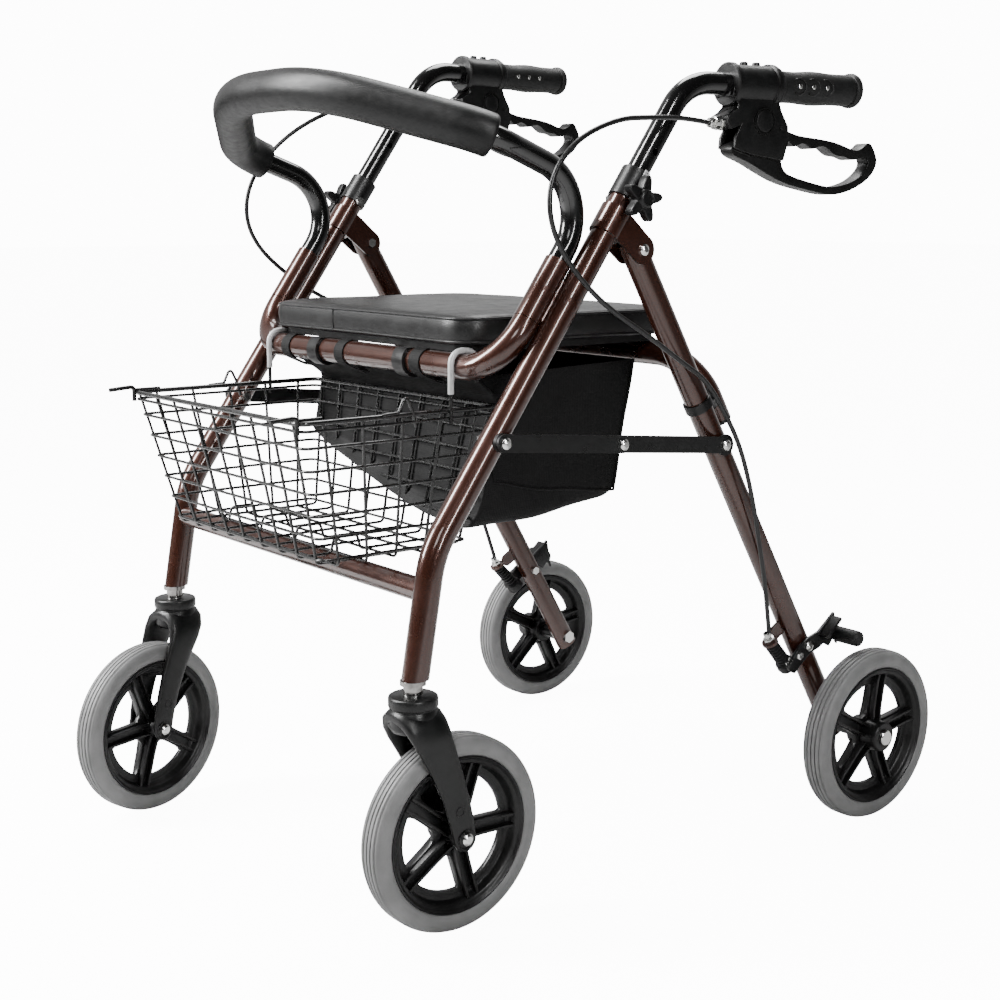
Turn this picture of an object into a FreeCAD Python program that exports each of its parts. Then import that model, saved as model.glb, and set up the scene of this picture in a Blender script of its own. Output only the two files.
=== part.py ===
import FreeCAD, Part
import math
import os

V = FreeCAD.Vector

# Rollator walker: a four-wheeled walking frame with a folding side linkage, a flip-up padded
# seat, a padded back bar, height-adjustable handles with cable brakes, a wire basket and a bag.
# Millimetres, +Z up, the walker faces -Y and its right-hand side is +X. While it is built, Y = 0
# lies near the caster axes; export_all() centres it on the origin at the end.

# ---- driving dimensions ----
WHEEL_R = 95.0                 # all four wheels, 190 mm (7.5 in) across
TYRE_WIDTH = 31.0
RIM_R = 76.5
TUBE_OD = 25.4                 # front legs and both seat rails
TUBE_WALL = 1.4
HANDLE_OD = 22.2               # handle tubes and the back bar
SIDE_X = 235.0                 # plane of the side frames
CASTER_Y = -5.0
CASTER_TRAIL = 42.0
LEFT_CASTER_TURN = 194.0       # the left caster stands turned round, as it was last pushed
REAR_AXLE_Y = 573.0
REAR_WHEEL_X = 289.0
LEG_TILT = 35.7                # front leg above its bend, from the vertical, degrees
LEG_Y_AT_FLOOR = -244.2        # where that upper line would meet the floor
LEG_FOOT = V(SIDE_X, -2.5, 250.0)
LEG_BEND = V(SIDE_X, 17.5, 364.2)
LEG_BEND_R = 100.0
LEG_TOP_Z = 690.0
PIVOT_Y, PIVOT_Z = 258.0, 629.5   # fold pivot: the rear legs hang from it
REAR_LEG_DEPTH = 27.0          # the rear leg is a flat-sided tube
REAR_LEG_WIDTH = 22.0
REAR_LEG_WALL = 1.5
BOLT_R = 3.0                   # the M6 bolts of the frame
AXLE_R = 5.0                   # rear axles and caster stems
RAIL_Z = 521.0                 # both seat rails
RAIL_ARM_X = 222.0
RAIL_BEND_R = 50.0
FRONT_RAIL_AHEAD = 22.0        # rail arm ahead of the front leg, square to it
REAR_RAIL_BEHIND = 27.5        # rail arm behind the rear leg, square to it
SEAM_Z = 566.0                 # joint between rail arm and back-bar socket
SOCKET_TOP_Z = 618.5
CROSSBAR_OD = 22.0
CROSSBAR_Z = 328.7
LINK_FRONT_Z = 459.0
LINK_REAR_Z = 431.4
LINK_WIDTH = 17.0
SEAT_HALF = 180.0
SEAT_FRONT, SEAT_BACK = 95.0, 366.0
SEAT_TOP = 569.0
BOARD_T = 7.0
GRIP_Z = 789.0
GRIP_START, GRIP_END = 432.0, 546.0
HANDLE_BEND_R = 58.0
HANDLE_SPLAY = 5.3             # the grips point slightly outwards
HOLE_PITCH = 27.0
LEFT_HANDLE_STEPS = 2          # the left handle is set two holes higher than the right
BRAKE_GAP = 2.5                # brake shoe to tyre, brake off
FIT = 0.05                     # radial play of pins and bushes
IN_X, OUT_X = 200.0, 300.0     # cross holes are drilled between these two planes

TAN = math.tan(math.radians(LEG_TILT))
LEG_DIR = V(0, math.sin(math.radians(LEG_TILT)), math.cos(math.radians(LEG_TILT)))
LEG_SIDE = V(0, LEG_DIR.z, -LEG_DIR.y)      # square to the leg, pointing back and down
PIVOT = V(SIDE_X, PIVOT_Y, PIVOT_Z)
AXLE = V(SIDE_X, REAR_AXLE_Y, WHEEL_R)
REAR_DIR = (AXLE - PIVOT).normalize()       # down the rear leg
REAR_SIDE = V(0, -REAR_DIR.z, REAR_DIR.y)   # square to it, pointing back and up
X_AXIS = V(1, 0, 0)
Z_AXIS = V(0, 0, 1)

nodes = {}


# ---- helpers ----
def at_x(x, p):
    return V(x, p.y, p.z)


def leg_point(z, x=SIDE_X):
    """A point on the upper line of the front leg."""
    return V(x, z * TAN + LEG_Y_AT_FLOOR, z)


def rear_point(z, x=SIDE_X):
    """A point on the line of the rear leg."""
    return PIVOT + REAR_DIR * ((PIVOT_Z - z) / -REAR_DIR.z) + V(x - SIDE_X, 0, 0)


def route(points, radii):
    """Straight runs joined by tangent arcs; radii has one entry for each inner point."""
    edges, start = [], points[0]
    for before, corner, after, radius in zip(points, points[1:], points[2:], radii):
        a, b = (before - corner).normalize(), (after - corner).normalize()
        half = a.getAngle(b) / 2
        reach = radius / math.tan(half)
        first, last = corner + a * reach, corner + b * reach
        centre = corner + (a + b).normalize() * (radius / math.sin(half))
        middle = centre + (corner - centre).normalize() * radius
        if (first - start).Length > 1e-6:
            edges.append(Part.LineSegment(start, first).toShape())
        edges.append(Part.Arc(first, middle, last).toShape())
        start = last
    edges.append(Part.LineSegment(start, points[-1]).toShape())
    return Part.Wire(edges)


def rod(points, radii, diameter):
    """A solid round bar along a route."""
    spine = route(points, radii)
    ring = Part.Wire(Part.makeCircle(diameter / 2, points[0], points[1] - points[0]))
    return spine.makePipeShell([ring], True, False)


def tube(points, radii, outer, wall):
    return rod(points, radii, outer).cut(rod(points, radii, outer - 2 * wall))


def cyl(start, end, radius):
    way = end - start
    return Part.makeCylinder(radius, way.Length, start, way)


def ring(start, end, radius, bore):
    return cyl(start, end, radius).cut(cyl(start, end, bore))


def outline(points, x0, x1):
    """A flat outline of (y, z) points, extruded from x0 to x1."""
    loop = Part.makePolygon([V(x0, y, z) for y, z in points] + [V(x0, *points[0])])
    return Part.Face(loop).extrude(V(x1 - x0, 0, 0))


def bar(p, q, width, x0, x1):
    """A flat bar with round ends between two points of a side view."""
    along = V(0, q.y - p.y, q.z - p.z)
    across = V(0, -along.z, along.y).normalize() * (width / 2)
    p0, q0 = at_x(x0, p), at_x(x0, q)
    body = Part.Face(Part.makePolygon([p0 + across, q0 + across, q0 - across, p0 - across,
                                       p0 + across])).extrude(V(x1 - x0, 0, 0))
    for end in (p, q):
        body = body.fuse(cyl(at_x(x0, end), at_x(x1, end), width / 2))
    return body.removeSplitter()


def box(x0, x1, y0, y1, z0, z1):
    return Part.makeBox(x1 - x0, y1 - y0, z1 - z0, V(x0, y0, z0))


def hex_bar(start, end, across_flats):
    way = (end - start).normalize()
    side = V(0, 1, 0) if abs(way.y) < 0.9 else V(1, 0, 0)
    u = way.cross(side).normalize()
    v = way.cross(u)
    r = across_flats / math.sqrt(3)
    corners = [start + u * (r * math.cos(k * math.pi / 3)) + v * (r * math.sin(k * math.pi / 3))
               for k in range(7)]
    return Part.Face(Part.makePolygon(corners)).extrude(end - start)


def group(*shapes):
    return Part.makeCompound([s for shape in shapes for s in shape.Solids])


def mirrored(shape):
    return shape.mirror(V(0, 0, 0), X_AXIS)


def pair(shape):
    """The right-hand piece with its mirror image, as one group."""
    return group(shape, mirrored(shape))


def both(name, shape):
    """The right-hand piece and its mirror image, as two nodes."""
    nodes[name + "_right"] = shape
    nodes[name + "_left"] = mirrored(shape)


# ---- front frame ----
def front_leg():
    foot_below = LEG_FOOT + (LEG_FOOT - LEG_BEND).normalize() * 6
    points = [foot_below, LEG_BEND, leg_point(LEG_TOP_Z)]
    leg = tube(points, [LEG_BEND_R], TUBE_OD, TUBE_WALL)
    leg = leg.cut(box(IN_X, OUT_X, -40, 40, 200, LEG_FOOT.z))
    return leg.cut(cyl(leg_point(LINK_FRONT_Z, IN_X), leg_point(LINK_FRONT_Z, OUT_X), BOLT_R))


def leg_solid():
    return rod([LEG_FOOT, LEG_BEND, leg_point(LEG_TOP_Z)], [LEG_BEND_R], TUBE_OD)


def crossbar():
    y = LEG_FOOT.y + (CROSSBAR_Z - LEG_FOOT.z) * (LEG_BEND.y - LEG_FOOT.y) / (LEG_BEND.z - LEG_FOOT.z)
    ends = [V(-SIDE_X, y, CROSSBAR_Z), V(SIDE_X, y, CROSSBAR_Z)]
    bar_tube = tube(ends, [], CROSSBAR_OD, TUBE_WALL)
    return bar_tube.cut(leg_solid()).cut(mirrored(leg_solid()))


def front_rail_point(z, x):
    return leg_point(z, x) - V(0, FRONT_RAIL_AHEAD / LEG_DIR.z, 0)


def rail_front():
    top, low = front_rail_point(SEAM_Z - 0.5, RAIL_ARM_X), front_rail_point(RAIL_Z, RAIL_ARM_X)
    points = [top, low, at_x(-low.x, low), at_x(-top.x, top)]
    return tube(points, [RAIL_BEND_R] * 2, TUBE_OD, TUBE_WALL)


def back_bar_socket():
    """The sleeve for the back bar, with the weld that joins it to the leg."""
    low, high = front_rail_point(SEAM_Z, RAIL_ARM_X), front_rail_point(SOCKET_TOP_Z, RAIL_ARM_X)
    socket = ring(low, high, TUBE_OD / 2, HANDLE_OD / 2)
    middle = (low + at_x(SIDE_X, low) + LEG_SIDE * FRONT_RAIL_AHEAD) * 0.5
    weld = cyl(middle + LEG_DIR * 6, middle + LEG_DIR * 50, 5)
    weld = weld.cut(leg_solid()).cut(cyl(low - LEG_DIR * 20, high, TUBE_OD / 2))
    return group(socket, weld)


SCREW_R = 3.9          # the hand knob's screw, M8


def leg_collar():
    """The plastic collar on the top end of the leg, in which the handle tube slides."""
    low, seat, high = leg_point(LEG_TOP_Z - 14), leg_point(LEG_TOP_Z), leg_point(LEG_TOP_Z + 11)
    outer = TUBE_OD / 2
    sleeve = ring(low, seat, outer + 2.2, outer).fuse(ring(seat, high, outer + 2.2, HANDLE_OD / 2 + 0.1))
    return sleeve.cut(cyl(at_x(IN_X, knob_point()), at_x(OUT_X, knob_point()), SCREW_R + 0.3))


CHEEK_T = 2.4          # plate of the fold bracket


def fold_bracket():
    """A sleeve clamped round the leg with two cheeks that carry the top of the rear leg."""
    middle = leg_point(655)
    low, high = middle - LEG_DIR * 14, middle + LEG_DIR * 14
    sleeve = cyl(low, high, TUBE_OD / 2 + CHEEK_T)
    cheek_in = REAR_LEG_WIDTH / 2 + 0.3
    nose = 14.0
    cheeks = []
    for s in (-1, 1):
        x0, x1 = sorted((SIDE_X + s * cheek_in, SIDE_X + s * (cheek_in + CHEEK_T)))
        corners = [low - LEG_SIDE * 2, high - LEG_SIDE * 2, high + LEG_SIDE * 12,
                   PIVOT + (LEG_DIR + LEG_SIDE * 0.35).normalize() * nose,
                   PIVOT - (LEG_DIR - LEG_SIDE * 0.1).normalize() * nose]
        plate = outline([(c.y, c.z) for c in corners], x0, x1)
        cheeks.append(plate.fuse(cyl(at_x(x0, PIVOT), at_x(x1, PIVOT), nose)))
    body = sleeve.fuse(cheeks)
    body = body.cut(cyl(low - LEG_DIR * 30, high + LEG_DIR * 30, TUBE_OD / 2))
    return body.cut(cyl(at_x(IN_X, PIVOT), at_x(OUT_X, PIVOT), BOLT_R + FIT)).removeSplitter()


def knob_point():
    """Where the knob's screw crosses the top of the leg."""
    return leg_point(677)


def cap_bolt(y, z, x0, x1, shank=BOLT_R, head=5.5):
    """A bolt along X: a shank from x0 to x1 with a domed head outside and a nut inside."""
    p, q = V(x0, y, z), V(x1, y, z)
    dome = Part.makeSphere(head * 1.35, V(x1 - head * 0.55, y, z))
    dome = dome.common(cyl(q, q + X_AXIS * 4, head))
    nut = hex_bar(p - X_AXIS * 4, p, head * 1.7)
    return cyl(p, q, shank).fuse(dome).fuse(nut)


def frame_bolts():
    cheek_out = REAR_LEG_WIDTH / 2 + 2.7
    fold = cap_bolt(PIVOT_Y, PIVOT_Z, SIDE_X - cheek_out, SIDE_X + cheek_out)
    front_link = leg_point(LINK_FRONT_Z)
    link = cap_bolt(front_link.y, front_link.z, SIDE_X - TUBE_OD / 2 - 0.2, LINK_FRONT_X1 + 0.2)
    inner = at_x(SIDE_X - TUBE_OD / 2 - 2.3, knob_point())
    clamp_nut = hex_bar(inner - X_AXIS * 4, inner, 9)
    return pair(group(fold, link, clamp_nut))


LINK_REAR_X0 = SIDE_X + REAR_LEG_WIDTH / 2 + 2.2
LINK_REAR_X1 = LINK_REAR_X0 + 3.0
LINK_FRONT_X0 = LINK_REAR_X1 + 0.6
LINK_FRONT_X1 = LINK_FRONT_X0 + 3.0


def link_points():
    front, rear = leg_point(LINK_FRONT_Z), rear_point(LINK_REAR_Z)
    return front, (front + rear) * 0.5, rear


def link_spacer():
    """The bush that stands the front link off the leg."""
    front = link_points()[0]
    spacer = ring(at_x(SIDE_X + TUBE_OD / 2, front), at_x(LINK_FRONT_X0 - 0.3, front), 9, BOLT_R)
    return pair(spacer.cut(leg_solid()))


def caster_bearing():
    """The bearing under the end of the leg: a race, a flange and a plug up the tube."""
    stem = V(SIDE_X, CASTER_Y, 0)
    body = []
    for z0, z1, radius in ((237.5, 245.5, 9.0), (245.5, 249.8, 12.0), (249.8, 257.0, 7.0)):
        body.append(ring(stem + Z_AXIS * z0, stem + Z_AXIS * z1, radius, AXLE_R + FIT))
    return pair(body[0].fuse(body[1:]))


def back_bar():
    """The black tube from socket to socket; its front runs in an arc under the pad."""
    base = front_rail_point(SEAM_Z + 6, RAIL_ARM_X)
    x = RAIL_ARM_X
    top = front_rail_point(685.0, x)
    side = V(x + 6, 90.0, 733.0)
    front = V(79.0, -2.0, 779.0)
    right = [base, top, side, front]
    points = right + [at_x(-p.x, p) for p in reversed(right)]
    radii = [53, 46, 82, 82, 46, 53]
    return points, radii


PAD_END = 27.0         # how far the pad runs down the bar behind its side bend


def pad_points():
    """The padded stretch of the back bar: its route without the lower ends."""
    points, radii = back_bar()
    inner, radii = points[2:6], radii[1:5]
    start = points[2] + (points[1] - points[2]).normalize() * PAD_END
    return [start] + inner + [at_x(-start.x, start)], radii


def back_pad():
    points, radii = pad_points()
    core = rod(*back_bar(), HANDLE_OD + 0.6)
    pad = rod(points, radii, 40.0)
    return pad.cut(core)


def under_seat_bag():
    """The bag as a thin shell, open at the top; its front steps back behind the basket."""
    wall = 2.5
    side = [(128, 518), (128, 505), (151, 486), (133, 372), (148, 364), (280, 378), (304, 394),
            (322, 506), (318, 518)]
    inside = [(131, 530), (131, 507), (154, 488), (136, 374), (149, 367), (279, 381), (301, 396),
              (319, 506), (314, 530)]
    return outline(side, -158, 158).cut(outline(inside, -158 + wall, 158 - wall))


def basket_corners(y0, y1, x, z):
    return [V(-x, y0, z), V(x, y0, z), V(x, y1, z), V(-x, y1, z), V(-x, y0, z)]


BASKET_RIM = (-76.0, 146.0, 166.0, 480.0)      # front, back, half width, height
BASKET_FLOOR = (-42.0, 122.0, 144.0, 344.0)


def basket():
    """The wire basket as an open-topped tub of the wires' outer shape."""
    def loft(shrink, lift, rise):
        y0, y1, x, z = BASKET_FLOOR
        low = Part.makePolygon(basket_corners(y0 + shrink, y1 - shrink, x - shrink, z + lift))
        y0, y1, x, z = BASKET_RIM
        high = Part.makePolygon(basket_corners(y0 + shrink, y1 - shrink, x - shrink, z + rise))
        return Part.makeLoft([low, high], True, True)
    tub = loft(0, 0, -3)
    return tub.cut(loft(3.5, 3.5, 0))


def basket_wires():
    """The rim wire and the hooks that hang the basket on the front rail."""
    y0, y1, x, z = BASKET_RIM
    wire = 4.5
    round_off = 10.0
    corners = basket_corners(y0, y1, x, z)
    start = V(0, y0, z)
    rim = rod([start, corners[1], corners[2], V(0, y1, z)], [round_off] * 2, wire)
    rim = rim.fuse(mirrored(rim))
    rail = front_rail_point(RAIL_Z, 0)
    reach = TUBE_OD / 2 + wire / 2 + 0.4
    hooks = []
    for s in (-1, 1):
        hx = s * (x + 3)
        hook = rod([V(hx, rail.y - reach, z), V(hx, rail.y - reach, rail.z + reach),
                    V(hx, rail.y + reach, rail.z + reach), V(hx, rail.y + reach, rail.z - 14)],
                   [reach - 1, reach - 1], wire)
        horn_x = s * (x - 2)
        horn = rod([V(horn_x, y0, z - 2), V(horn_x, y0, z + 7), V(horn_x, y0 - 28, z + 4)], [4], wire)
        hooks += [hook, horn]
    return rim.fuse(hooks).removeSplitter()


# ---- rear frame ----
def rear_leg_solid(inset=0.0):
    """The flat-sided tube without its bore; inset draws it thinner all round."""
    half = (REAR_LEG_DEPTH - REAR_LEG_WIDTH) / 2
    top, foot = PIVOT - REAR_DIR * 10, AXLE + REAR_DIR * 14
    front, back = top - REAR_SIDE * half, top + REAR_SIDE * half
    web = V(REAR_LEG_WIDTH / 2 - inset, 0, 0)
    loop = Part.makePolygon([front - web, back - web, back + web, front + web, front - web])
    rounds = [cyl(p, p + foot - top, REAR_LEG_WIDTH / 2 - inset) for p in (front, back)]
    return Part.Face(loop).extrude(foot - top).fuse(rounds).removeSplitter()


def rear_leg():
    leg = rear_leg_solid().cut(rear_leg_solid(REAR_LEG_WALL))
    holes = ((PIVOT_Z, BOLT_R + FIT), (LINK_REAR_Z, BOLT_R), (WHEEL_R, AXLE_R), (BRAKE_PIVOT.z, BOLT_R))
    for z, bore in holes:
        leg = leg.cut(cyl(rear_point(z, IN_X), rear_point(z, OUT_X), bore))
    return leg


def rear_rail_point(z, x):
    return rear_point(z, x) + REAR_SIDE * REAR_RAIL_BEHIND - REAR_DIR * (
        REAR_SIDE.z * REAR_RAIL_BEHIND / REAR_DIR.z)


REAR_RAIL_END_Z = 456.0


def rail_rear():
    low, high = rear_rail_point(REAR_RAIL_END_Z, RAIL_ARM_X), rear_rail_point(RAIL_Z, RAIL_ARM_X)
    points = [low, high, at_x(-high.x, high), at_x(-low.x, low)]
    return tube(points, [RAIL_BEND_R] * 2, TUBE_OD, TUBE_WALL)


def rail_end_cap():
    end = rear_rail_point(REAR_RAIL_END_Z, RAIL_ARM_X)
    plug = cyl(end - REAR_DIR * 8, end, TUBE_OD / 2 - TUBE_WALL)
    cap = cyl(end, end + REAR_DIR * 4, TUBE_OD / 2)
    return plug.fuse(cap)


def rail_saddle():
    """The plastic saddle between rail arm and rear leg, with the cable clip round the leg."""
    middle = rear_point(474)
    back = rear_rail_point(470, RAIL_ARM_X)
    body = cyl(middle + REAR_SIDE * 13, back, 9)
    for s in (-1, 1):
        centre = middle + REAR_SIDE * (2.5 * s)
        body = body.fuse(cyl(centre - REAR_DIR * 5, centre + REAR_DIR * 5, REAR_LEG_WIDTH / 2 + 2))
    body = body.cut(rear_leg_solid())
    return body.cut(cyl(back - REAR_DIR * 60, back + REAR_DIR * 60, TUBE_OD / 2))


BRAKE_PIVOT = rear_point(196.0)
BRAKE_ARM_X0 = SIDE_X + REAR_LEG_WIDTH / 2 + 1.0
BRAKE_ARM_X1 = BRAKE_ARM_X0 + 4.0


def rear_bolts():
    leg_in = SIDE_X - REAR_LEG_WIDTH / 2
    link = link_points()[2]
    link_bolt = cap_bolt(link.y, link.z, leg_in, LINK_REAR_X1 + 0.1)
    pivot = cap_bolt(BRAKE_PIVOT.y, BRAKE_PIVOT.z, leg_in, BRAKE_ARM_X1 + 0.1)
    hub_out = REAR_WHEEL_X + REAR_HUB_OUT
    axle = cap_bolt(AXLE.y, AXLE.z, leg_in, hub_out + 0.2, AXLE_R, 8.5)
    return pair(group(link_bolt, pivot, axle))


REAR_HUB_IN = 17.0
REAR_HUB_OUT = 23.0


def axle_spacer():
    """The bush between rear leg and wheel, and the washer under the rear link."""
    start = SIDE_X + REAR_LEG_WIDTH / 2
    link = link_points()[2]
    washer = ring(at_x(start, link), at_x(LINK_REAR_X0 - 0.1, link), 8, BOLT_R)
    spacer = ring(at_x(start, AXLE), at_x(REAR_WHEEL_X - REAR_HUB_IN - 0.2, AXLE), 9, AXLE_R)
    return pair(group(spacer, washer))


CABLE_STOP = rear_point(226.0) - REAR_SIDE * 38
BOOT_R = 7.0           # over its ribs


def brake_bracket():
    """The painted lug on the leg that holds the end of the brake cable."""
    root = rear_point(226.0)
    lug = bar(root - REAR_SIDE * 12, CABLE_STOP + REAR_SIDE * 14, 16, SIDE_X - 1.5, SIDE_X + 1.5)
    plate_at = at_x(SIDE_X + 5, CABLE_STOP)
    plate = cyl(plate_at - REAR_DIR * 1.5, plate_at + REAR_DIR * 1.5, 9)
    boot_room = cyl(plate_at + REAR_DIR * 1.5, plate_at + REAR_DIR * 12, BOOT_R + 0.7)
    body = lug.cut(boot_room).fuse(plate).cut(rear_leg_solid())
    return pair(body.cut(cyl(plate_at - REAR_DIR * 9, plate_at + REAR_DIR * 9, 3)))


def brake_boot():
    """The ribbed rubber boot over the inner cable, between the lug and the brake arm."""
    top = at_x(SIDE_X + 5, CABLE_STOP) + REAR_DIR * 2.55
    low = at_x(SIDE_X + 3.5, BRAKE_PIVOT - REAR_SIDE * 30 + REAR_DIR * 2)
    way = low - top
    turns = 7
    ribs = [cyl(top, low, 4.6)]
    for k in range(turns):
        centre = top + way * ((k + 0.5) / turns)
        half = V(way).normalize() * 1.3
        ribs.append(cyl(centre - half, centre + half, BOOT_R))
    return pair(ribs[0].fuse(ribs[1:]))


# ---- links of the side linkage ----
def link_front():
    front, centre, _ = link_points()
    body = bar(front, centre, LINK_WIDTH, LINK_FRONT_X0, LINK_FRONT_X1)
    hole = cyl(at_x(IN_X, front), at_x(OUT_X, front), BOLT_R + FIT)
    rivet_hole = cyl(at_x(IN_X, centre), at_x(OUT_X, centre), BOLT_R)
    return group(body.cut(hole).cut(rivet_hole), link_rivet(centre))


def link_rivet(centre):
    """The rivet at the middle of the linkage, closed tight in the front link."""
    p, q = at_x(LINK_FRONT_X0, centre), at_x(LINK_FRONT_X1, centre)
    dome = Part.makeSphere(7.5, V(LINK_FRONT_X1 - 3, centre.y, centre.z))
    dome = dome.common(cyl(q, q + X_AXIS * 4, 5.5))
    return cyl(p, q, BOLT_R).fuse(dome)


def link_rear():
    _, centre, rear = link_points()
    body = bar(centre, rear, LINK_WIDTH, LINK_REAR_X0, LINK_REAR_X1)
    body = body.fuse(cyl(at_x(LINK_REAR_X0, rear), at_x(LINK_REAR_X1, rear), 11))
    hole = cyl(at_x(IN_X, rear), at_x(OUT_X, rear), BOLT_R + FIT)
    centre_hole = cyl(at_x(IN_X, centre), at_x(OUT_X, centre), BOLT_R + 0.2)
    return body.cut(hole).cut(centre_hole).removeSplitter()


# ---- seat ----
def rounded_plate(z0, z1, inset, corner):
    body = box(-SEAT_HALF + inset, SEAT_HALF - inset, SEAT_FRONT + inset, SEAT_BACK - inset, z0, z1)
    upright = [e for e in body.Edges if abs(e.Vertexes[0].Z - e.Vertexes[1].Z) > 1]
    return body.makeFillet(corner, upright)


RAIL_TOP = RAIL_Z + TUBE_OD / 2
BOARD_Z = RAIL_TOP + 0.5


def seat_board():
    return rounded_plate(BOARD_Z, BOARD_Z + BOARD_T, 8, 26)


def seat_cushion():
    body = rounded_plate(BOARD_Z + BOARD_T, SEAT_TOP, 0, 30)
    top = [e for e in body.Edges if e.BoundBox.ZMin > SEAT_TOP - 0.01]
    return body.makeFillet(6, top)


SEAT_CLIP_X = 80.0


def seat_clips():
    """Two plastic clips screwed under the board; they turn on the front rail."""
    axis = front_rail_point(RAIL_Z, 0)
    clips = []
    for s in (-1, 1):
        x0, x1 = s * SEAT_CLIP_X - 9, s * SEAT_CLIP_X + 9
        hoop = cyl(at_x(x0, axis), at_x(x1, axis), TUBE_OD / 2 + 3.5)
        foot = box(x0, x1, axis.y - 2, axis.y + 34, RAIL_TOP - 4, BOARD_Z)
        clip = hoop.fuse(foot)
        clip = clip.common(box(x0, x1, axis.y - 40, axis.y + 40, axis.z - 30, BOARD_Z))
        clips.append(clip.cut(cyl(at_x(x0 - 1, axis), at_x(x1 + 1, axis), TUBE_OD / 2 + FIT)))
    return group(*clips)


# ---- handles, brake levers and knobs; drawn straight, then splayed outwards ----
def splayed(shape):
    corner = handle_corner()
    turned = shape.copy()
    turned.rotate(corner, Z_AXIS, -HANDLE_SPLAY)
    return turned


def handle_corner():
    return leg_point(GRIP_Z)


def splay_dir():
    a = math.radians(HANDLE_SPLAY)
    return V(math.sin(a), math.cos(a), 0)


HEIGHT_HOLE_R = 3.4    # the row of holes for the knob's screw


def handle_tube():
    corner = handle_corner()
    foot = leg_point(LEG_TOP_Z) - LEG_DIR * 205
    tip = corner + splay_dir() * (GRIP_END - 4 - corner.y)
    body = tube([foot, corner, tip], [HANDLE_BEND_R], HANDLE_OD, 1.5)
    for k in range(1, 3):
        p = knob_point() + LEG_DIR * (HOLE_PITCH * k)
        body = body.cut(cyl(at_x(IN_X, p), at_x(OUT_X, p), HEIGHT_HOLE_R))
    return body


def grip():
    y0, y1 = GRIP_START, GRIP_END
    axis = V(SIDE_X, 0, GRIP_Z)
    profile = [(HANDLE_OD / 2, y0), (19.0, y0), (19.0, y0 + 3), (16.0, y0 + 7), (15.6, y0 + 40),
               (16.6, y0 + 60), (15.8, y0 + 84), (16.2, y1 - 8), (17.6, y1 - 4), (17.0, y1),
               (0, y1), (0, y1 - 3.5), (HANDLE_OD / 2, y1 - 3.5)]
    loop = Part.makePolygon([V(SIDE_X + r, y, GRIP_Z) for r, y in profile + profile[:1]])
    return splayed(Part.Face(loop).revolve(V(SIDE_X, 0, GRIP_Z), V(0, 1, 0), 360))


HOUSING_X = 13.0       # half width
LEVER_X = 8.5          # half width of the lever
LEVER_PIN_R = 4.0
LEVER_PIVOT = V(SIDE_X, 414.0, 754.0)


def brake_housing():
    """The plastic body that clamps on the tube in front of the grip and carries the lever."""
    side = [(375, 798), (372, 776), (380, 768), (366, 758), (370, 744), (384, 750), (376, 736),
            (376, 726), (400, 722), (441, 716), (446, 748), (430, 767), (430, 798)]
    body = outline(side, SIDE_X - HOUSING_X, SIDE_X + HOUSING_X)
    axis = V(SIDE_X, 0, GRIP_Z)
    clamp = cyl(axis + V(0, 377, 0), axis + V(0, 429, 0), HANDLE_OD / 2 + 8.4)
    body = body.fuse(clamp)
    body = body.cut(cyl(axis + V(0, 360, 0), axis + V(0, 440, 0), HANDLE_OD / 2))
    slot_side = [(352, 745), (393, 742), (402, 768), (418, 771), (470, 771), (470, 690), (352, 690)]
    slot_half = LEVER_X + 0.8
    body = body.cut(outline(slot_side, SIDE_X - slot_half, SIDE_X + slot_half))
    pin = cyl(LEVER_PIVOT - X_AXIS * (HOUSING_X - 1), LEVER_PIVOT + X_AXIS * (HOUSING_X - 1), LEVER_PIN_R)
    boss = cyl(LEVER_PIVOT + X_AXIS * (HOUSING_X - 1), LEVER_PIVOT + X_AXIS * (HOUSING_X + 1.5), 13)
    barrel = cyl(V(SIDE_X, 373, 751.5), V(SIDE_X, 352, 751.5), 5.0)
    return splayed(body.fuse([pin, boss, barrel]).removeSplitter())


def brake_lever():
    """The open loop lever: a flat plate with a long window, bored for its pin."""
    outer = [(402, 764), (424, 766), (440, 748), (467, 741), (517, 736), (546, 729), (564, 736),
             (578, 718), (560, 697), (532, 685), (512, 682), (445, 694), (420, 704), (398, 714),
             (374, 722), (374, 732), (400, 738)]
    inner = [(446, 738), (468, 733), (517, 728), (544, 721), (560, 722), (564, 714), (552, 702),
             (530, 693), (511, 690), (452, 702), (442, 716)]
    plate = outline(outer, SIDE_X - LEVER_X, SIDE_X + LEVER_X)
    window = outline(inner, SIDE_X - 30, SIDE_X + 30)
    plate = plate.cut(window)
    bore = cyl(LEVER_PIVOT - X_AXIS * 30, LEVER_PIVOT + X_AXIS * 30, LEVER_PIN_R + FIT)
    return splayed(plate.cut(bore))


def clamp_knob():
    """A five-lobed hand knob on a short screw, outside the top of the leg."""
    p = knob_point()
    x0 = SIDE_X + TUBE_OD / 2 + 2.4
    hub = cyl(at_x(x0 + 6, p), at_x(x0 + 19, p), 10)
    hub = hub.fuse(cyl(at_x(x0 + 0.2, p), at_x(x0 + 6, p), 6))
    lobes = []
    for k in range(5):
        a = math.radians(72 * k + 20)
        tip = V(0, math.cos(a), math.sin(a)) * 17
        lobes.append(cyl(at_x(x0 + 8, p) + tip, at_x(x0 + 18, p) + tip, 4))
        lobes.append(bar(p, p + tip, 8, x0 + 8, x0 + 18))
    screw = cyl(at_x(SIDE_X + TUBE_OD / 2 + FIT, p), at_x(x0 + 3, p), SCREW_R)
    return hub.fuse(lobes).fuse(screw).removeSplitter()


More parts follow.
